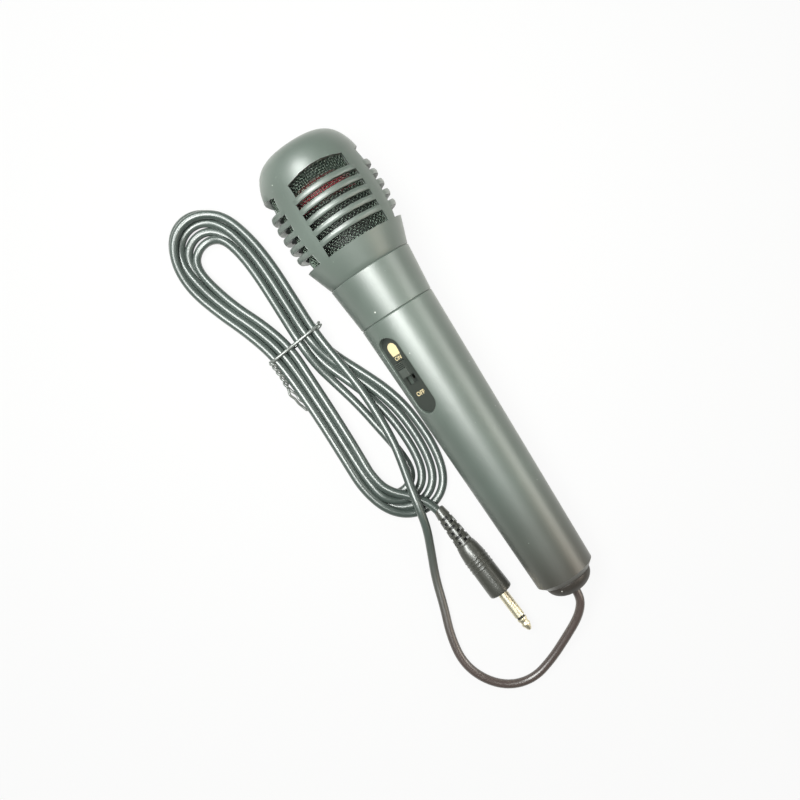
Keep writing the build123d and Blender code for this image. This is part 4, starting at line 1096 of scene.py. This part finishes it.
# ---------------------------------------------------------------- plug and tie
PLUG = AxisFrame((-0.0396, 0.024, 0.0042),
                 (math.cos(math.radians(184.6)), math.sin(math.radians(184.6)), 0.0), (0.0, 0.0, 1.0))


def strain_relief(finishes: Finishes) -> list[bpy.types.Object]:
    """Tapered boot with rows of four windows, each an eighth of a turn from the last, and a black sleeve
    under them that paints the shade deep in the windows.
    """
    rows, columns = 6, 144
    length, first, pitch, slot, core, bore = 14.6, 3.4, 1.9, 1.0, 1.6, 1.5
    half_window = math.radians(31)
    heights = [0.0, 0.25, 1.2, 2.4]
    for row in range(rows):
        low = first + pitch * row
        heights += [low, low + 0.06, low + slot - 0.06, low + slot]
    z = np.array([*heights, length - 0.01, length])
    outside = np.interp(z, [0.0, 0.25, first, length], [1.75, 1.9, 2.35, 3.1])
    turn = np.linspace(0, 2 * math.pi, columns, endpoint=False)
    row = np.floor((z - first) / pitch + 1e-6)
    cut = (z > first + 0.03) & (np.abs((z - first) - row * pitch - slot / 2) < slot / 2 - 0.03)
    phase = np.remainder(turn[None, :] + row[:, None] * math.pi / 4 + math.pi / 4, math.pi / 2) - math.pi / 4
    window = cut[:, None] & (np.abs(phase) < half_window) & (row < rows)[:, None]
    radius = np.where(window, core, outside[:, None])
    skin = polar(radius, turn[None, :], z[:, None])
    count = len(z) * columns
    ring = np.arange(columns)
    ends = np.concatenate([polar(bore, turn, length), polar(bore, turn, 0.0)])
    faces = grid_faces(len(z), columns, closed=True).tolist()
    chain = [count - columns + ring, count + ring, count + columns + ring, ring]
    faces += strips(chain)
    points = PLUG.place(np.concatenate([skin.reshape(-1, 3), ends]))
    boot = Part("boot_windows", points, faces).bevel(0.05, 2, 50)
    # A black sleeve just over the windows' floors: a dark piece put in as painted shade deep in the windows.
    section = ((bore, 3.2), (1.72, 3.2), (1.72, 14.55), (bore, 14.55))
    shade_sleeve = Turned("boot_shade_sleeve", section, PLUG, 0.02, 48).part()
    return [
        boot.finish(finishes["plug_moulding"], "cord_pvc", "casing", "plug_boot"),
        shade_sleeve.finish(finishes["black_insulator"], "cord_pvc", "casing"),
    ]


def plug_pieces(finishes: Finishes) -> list[bpy.types.Object]:
    """Moulded body with grip rings, plated sleeve, insulator and tip, and the cut strain relief."""
    back, front = 14.6, 35.4
    side = [(0.0, back), (2.9, back), (3.3, back + 0.5), (3.72, back + 2.6), (4.0, back + 5.0)]
    for ridge in range(4):
        low = back + 5.8 + 1.35 * ridge
        radius = 4.0 + 0.2 * (low - back - 5.0) / 15.1
        side += [(radius, low), *((radius + 0.2 * math.sin(t), low + 0.55 * t / math.pi)
                                  for t in np.linspace(0.4, math.pi - 0.4, 5)), (radius, low + 0.55)]
    side += [(4.2, front - 3.0), *quarter(3.4, front - 0.8, 0.8), (1.5, front), (1.5, 29.4), (0.0, 29.4)]
    body = Turned("plug_grip", tuple(side), PLUG, 0.1).part()
    sleeve = Turned("plug_shank", (
        (1.2, 29.4), (1.5, 29.4), (1.5, front), (1.75, front), (1.75, 45.5), (1.65, 45.6), (1.2, 45.6),
    ), PLUG, 0.04, 64).part()
    ring = Turned("plug_ring", ((1.2, 45.6), (1.4, 45.6), (1.4, 46.4), (1.2, 46.4)), PLUG, 0.03, 48).part()
    tip = Turned("plug_nose", (
        (0.0, 46.4), (1.6, 46.4), (1.7, 46.5), (1.7, 46.95), (1.55, 47.3), (1.36, 47.75), (1.3, 48.0),
        (1.36, 48.3), (1.5, 48.75), (1.48, 49.1), (1.32, 49.6), (1.02, 50.3), (0.76, 50.9), (0.5, 51.25),
        (0.22, 51.38), (0.0, 51.4),
    ), PLUG, 0.03, 64).part()
    metal = finishes["gold_plate"]
    return [
        body.finish(finishes["plug_moulding"], "cord_pvc", "casing", "plug_body"),
        sleeve.finish(metal, "plug_metal", "casing", "plug_sleeve"),
        ring.finish(finishes["black_insulator"], "insulator", "casing", "plug_insulator"),
        tip.finish(metal, "plug_metal", "casing", "plug_tip"),
        *strain_relief(finishes),
    ]


@dataclass(frozen=True)
class WireTie:
    """Covered wire round the bundle: a loop with a knot on one side and, on the other, a twisted pair
    that ends in two loose tails."""

    centre: tuple[float, float] = (33.0, 34.5)
    heading: float = math.radians(6.0)
    radius: float = 0.45
    loop_share: float = 1.3  # how much thicker the loop is than the tails
    sides: int = 12
    pair_r: float = 0.58
    pair_pitch: float = 4.4

    def across(self, side: Array, height: Array, along: Array) -> Array:
        """Points at a distance beside, above and along the bundle's middle line."""
        side, height, along = np.broadcast_arrays(side, height, along)
        cosine, sine = math.cos(self.heading), math.sin(self.heading)
        x = self.centre[0] + along * cosine - side * sine
        y = self.centre[1] + along * sine + side * cosine
        return np.stack([x, y, height], -1)

    def smooth(self, points: Sequence[Sequence[float]], count: int, closed: bool) -> Array:
        """Uniform quadratic B-spline through the middles of the polygon's sides."""
        p = np.array(points, float)
        before, after = np.roll(p, 1, 0), np.roll(p, -1, 0)
        start, end = (before + p) / 2, (p + after) / 2
        if not closed:
            start[0], end[-1] = p[0], p[-1]
            start[1] = (p[0] + p[1]) / 2
        t = np.linspace(0, 1, count, endpoint=False)[:, None, None]
        curve = (1 - t) ** 2 * start + 2 * t * (1 - t) * p + t**2 * end
        return curve.transpose(1, 0, 2).reshape(-1, 3)

    def build(self, finishes: Finishes) -> bpy.types.Object:
        """Sweeps the loop, the knot and the tails into one mesh."""
        section = [(-10.1, 0.6), (-10.6, 3.4), (-9.9, 6.5), (-6.5, 7.2), (-2.6, 6.95), (0.6, 6.95),
                   (4.0, 7.3), (8.2, 7.2), (10.5, 5.8), (10.7, 3.0), (10.0, 0.6), (4.0, 0.6), (-4.0, 0.6)]
        loop = self.across(*np.array(section).T, 0.0)
        runs = [(self.smooth(loop, 8, True), True)]

        turn = np.linspace(0, 3.2 * math.pi, 48)
        knot = self.across(-10.2 + 0.8 * np.cos(turn), 5.7 + 0.8 * np.sin(turn), np.linspace(-0.8, 0.9, 48))
        runs.append((knot, False))

        spine = self.smooth([self.across(s, h, a) for s, h, a in (
            (9.6, 6.6, 0.4), (9.9, 6.5, -1.6), (10.0, 6.0, -3.6), (10.1, 5.5, -5.6), (10.4, 5.1, -7.6),
            (10.9, 4.8, -9.2),
        )], 16, False)
        run = np.gradient(spine, axis=0)
        run /= np.linalg.norm(run, axis=1)[:, None]
        side = np.cross(run, [0.0, 0.0, 1.0])
        side /= np.linalg.norm(side, axis=1)[:, None]
        lift = np.cross(side, run)
        length = np.concatenate([[0], np.cumsum(np.linalg.norm(np.diff(spine, axis=0), axis=1))])
        angle = (2 * math.pi * length / self.pair_pitch)[:, None]
        for phase, tail in (
            (0.0, [(11.0, 4.4, -10.8), (10.2, 4.2, -12.6), (10.6, 3.6, -14.8), (9.9, 3.0, -17.2),
                   (10.2, 2.6, -19.0)]),
            (math.pi, [(11.6, 5.2, -11.0), (12.0, 4.8, -12.8), (11.4, 4.0, -15.0), (11.6, 3.2, -17.2),
                       (10.8, 2.4, -19.6)]),
        ):
            strand = spine + self.pair_r * (np.cos(angle + phase) * side + np.sin(angle + phase) * lift)
            loose = self.smooth([strand[-1], *(self.across(*p) for p in tail)], 10, False)
            wiggle = 0.16 * np.sin(np.linspace(0, 7 * math.pi, len(loose)))
            loose = loose + np.outer(wiggle, [0.0, 0.6, 0.8])
            runs.append((np.concatenate([strand[:-1], loose]), False))
        tubes = []
        for path, closed in runs:
            radius = self.radius * (self.loop_share if closed else 1.0)
            points, quads = tube_mesh(path, radius, self.sides, closed)
            first = np.arange(self.sides)
            caps = [] if closed else [first.tolist(), (len(points) - 1 - first).tolist()]
            tubes.append((points, [*quads.tolist(), *caps]))
        points, faces = joined(tubes)
        part = Part("tie_wire", MM * points, faces)
        return part.outward().finish(finishes["tie_sheath"], "tie_wire", "casing", "wire_tie")


# ---------------------------------------------------------------- studio
class LampKind(Enum):
    """The two kinds of lamp on the stage."""

    PANEL = "AREA"
    SPOT = "SPOT"


@dataclass
class Studio:
    """Floor, soft lights and the camera over the microphone."""

    eye: tuple[float, float, float] = (-0.00185, 0.0149, 0.337)
    up: tuple[float, float, float] = (0.8402, -0.5421, 0.0)
    lens: float = 44.325
    film: float = 36.0
    white_share: float = 0.92
    gloss_share: float = 0.35
    spot_cone: float = math.radians(37.0)

    def camera(self) -> None:
        """Looks straight down, with its up side along `up`."""
        data = bpy.data.cameras.new("camera")
        data.sensor_width = self.film
        data.lens = self.lens
        data.clip_start = 0.01
        camera = added("camera", data)
        up = np.array(self.up) / np.linalg.norm(self.up)
        back = np.array([0.0, 0.0, 1.0])
        camera.matrix_world = turned_to(np.cross(up, back), up, back, self.eye)
        bpy.context.scene.camera = camera

    def floor(self, level: float) -> None:
        """A plain pale floor that the camera sees nearly white and that keeps the shadow."""
        size = 4.0
        corners = [(-size, -size, level), (size, -size, level), (size, size, level), (-size, size, level)]
        mesh = bpy.data.meshes.new("floor")
        mesh.from_pydata(corners, [], [(0, 1, 2, 3)])
        floor = added("floor", mesh)
        g = Graph("floor")
        rays = [g.node("ShaderNodeLightPath", out=name) for name in
                ("Is Camera Ray", "Is Glossy Ray", "Is Transmission Ray")]
        seen = rays[0].largest(rays[1] * self.gloss_share).largest(rays[2])
        lit = g.node("ShaderNodeBsdfDiffuse", {}, {"Color": (0.40, 0.40, 0.38)})
        white = g.node("ShaderNodeEmission", {}, {"Color": (1, 1, 1), "Strength": 1.0})
        mixed = g.node("ShaderNodeMixShader", {}, {0: seen * self.white_share, 1: lit, 2: white})
        mesh.materials.append(g.close(mixed))
        floor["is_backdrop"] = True

    def lamp(self, name: str, place: Sequence[float], size: float, power: float,
             colour: tuple[float, float, float], target: Sequence[float],
             kind: LampKind = LampKind.PANEL) -> None:
        """A soft light that faces the target: a round panel, or a spot with a cone that fades to its rim."""
        data = bpy.data.lights.new(name, kind.value)
        data.energy = power
        data.color = colour
        if kind is LampKind.PANEL:
            data.shape = "DISK"
            data.size = size
        else:
            data.shadow_soft_size = size / 2
            data.spot_size = self.spot_cone
            data.spot_blend = 1.0
        lamp = added(name, data)
        back = np.array(place, float) - np.array(target, float)
        back /= np.linalg.norm(back)
        side = np.cross([0.0, 1.0, 0.0], back)
        side /= np.linalg.norm(side)
        lamp.matrix_world = turned_to(side, np.cross(back, side), back, place)

    def world(self) -> None:
        """Dim even light all round, white where the camera sees it."""
        world = bpy.data.worlds.new("world")
        bpy.context.scene.world = world
        world.use_nodes = True
        tree = world.node_tree
        tree.nodes.clear()
        path = tree.nodes.new("ShaderNodeLightPath")
        dim, white, mix = (tree.nodes.new(kind) for kind in
                           ("ShaderNodeBackground", "ShaderNodeBackground", "ShaderNodeMixShader"))
        dim.inputs["Color"].default_value = (0.85, 0.93, 0.9, 1)
        dim.inputs["Strength"].default_value = 0.15
        white.inputs["Color"].default_value = (1, 1, 1, 1)
        white.inputs["Strength"].default_value = 1.0
        out = tree.nodes.new("ShaderNodeOutputWorld")
        tree.links.new(path.outputs["Is Camera Ray"], mix.inputs[0])
        tree.links.new(dim.outputs[0], mix.inputs[1])
        tree.links.new(white.outputs[0], mix.inputs[2])
        tree.links.new(mix.outputs[0], out.inputs["Surface"])

    def build(self, level: float) -> None:
        """Sets the whole stage round the microphone."""
        bpy.context.scene.view_settings.view_transform = "Standard"
        self.camera()
        self.floor(level)
        spot = LampKind.SPOT
        self.lamp("key", (0.0, 0.05, 0.48), 0.18, 10.6, (0.97, 1.0, 0.96), (0.06, 0.0, 0.02), spot)
        self.lamp("cord_side", (0.07, 0.19, 0.46), 0.22, 2.2, (0.98, 1.0, 0.98), (0.04, 0.05, 0.0))
        self.lamp("head_side", (0.37, 0.09, 0.43), 0.42, 38.0, (0.96, 1.0, 0.97), (0.12, 0.0, 0.02), spot)
        self.lamp("right_side", (-0.09, -0.44, 0.27), 0.3, 6.0, (0.98, 1.0, 0.95), (-0.02, 0.0, 0.02), spot)
        self.lamp("tail_side", (-0.30, -0.36, 0.28), 0.3, 0.7, (1.0, 0.86, 0.70), (-0.03, 0.0, 0.02))
        self.world()


SLOT_FINISH: dict[str, str] = {
    "shell_plastic": "satin_shell", "capsule_red": "capsule_red", "inner_plastic": "inner_plastic",
    "film": "film", "copper": "bare_copper", "steel": "plain_steel", "magnet_ferrite": "ferrite",
    "mesh_wire": "mesh_wire",
    "rubber": "soft_rubber", "board": "phenolic", "plug_metal": "gold_plate", "cord_pvc": "plug_moulding",
    "tie_wire": "tie_sheath", "insulator": "black_insulator", "wire_red": "red_insulation",
    "wire_white": "white_insulation",
}


# Nodes that look unlike the other pieces of their slot: the switch plate is dark plastic, and the slider,
# base, bridge and frame under it are darkened as painted shade in the plate's slot.
NODE_FINISH: dict[str, str] = {
    "switch_plate": "switch_face", "switch_bridge": "slot_shade_steel", "switch_frame": "slot_shade_steel",
    "switch_slider": "switch_face", "switch_base": "switch_face",
}


def dress_nodes(frame: dict[str, Any], finishes: Finishes) -> None:
    """Gives every carried-over CAD node the finish of its slot."""
    for entry in frame["record"]["subparts"]:
        node = frame["nodes"][entry["node"]]
        finish = finishes[NODE_FINISH.get(entry["node"], SLOT_FINISH[entry["material_slot"]])]
        if not node.material_slots:
            node.data.materials.append(finish)
        for slot in node.material_slots:
            slot.material = finish


def main() -> None:
    """Loads the frame, builds each sub-assembly and sets the stage."""
    logging.basicConfig(level=logging.INFO, format="%(name)s: %(message)s")
    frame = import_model()
    cad_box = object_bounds()
    finishes = Finishes()
    cord = Cord()
    lead = cord.build(finishes)
    plug = plug_pieces(finishes)
    2 * cord.radius
    dress_nodes(frame, finishes)
    HeadShell().build(finishes)
    MeshScreen().build(finishes)
    HandleShell().build(finishes)
    casing_rings(finishes)
    SwitchFace().build(finishes)
    WireTie().build(finishes)
    Studio().build(min(cad_box[0][2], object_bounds()[0][2]))


if __name__ == "__main__":
    main()
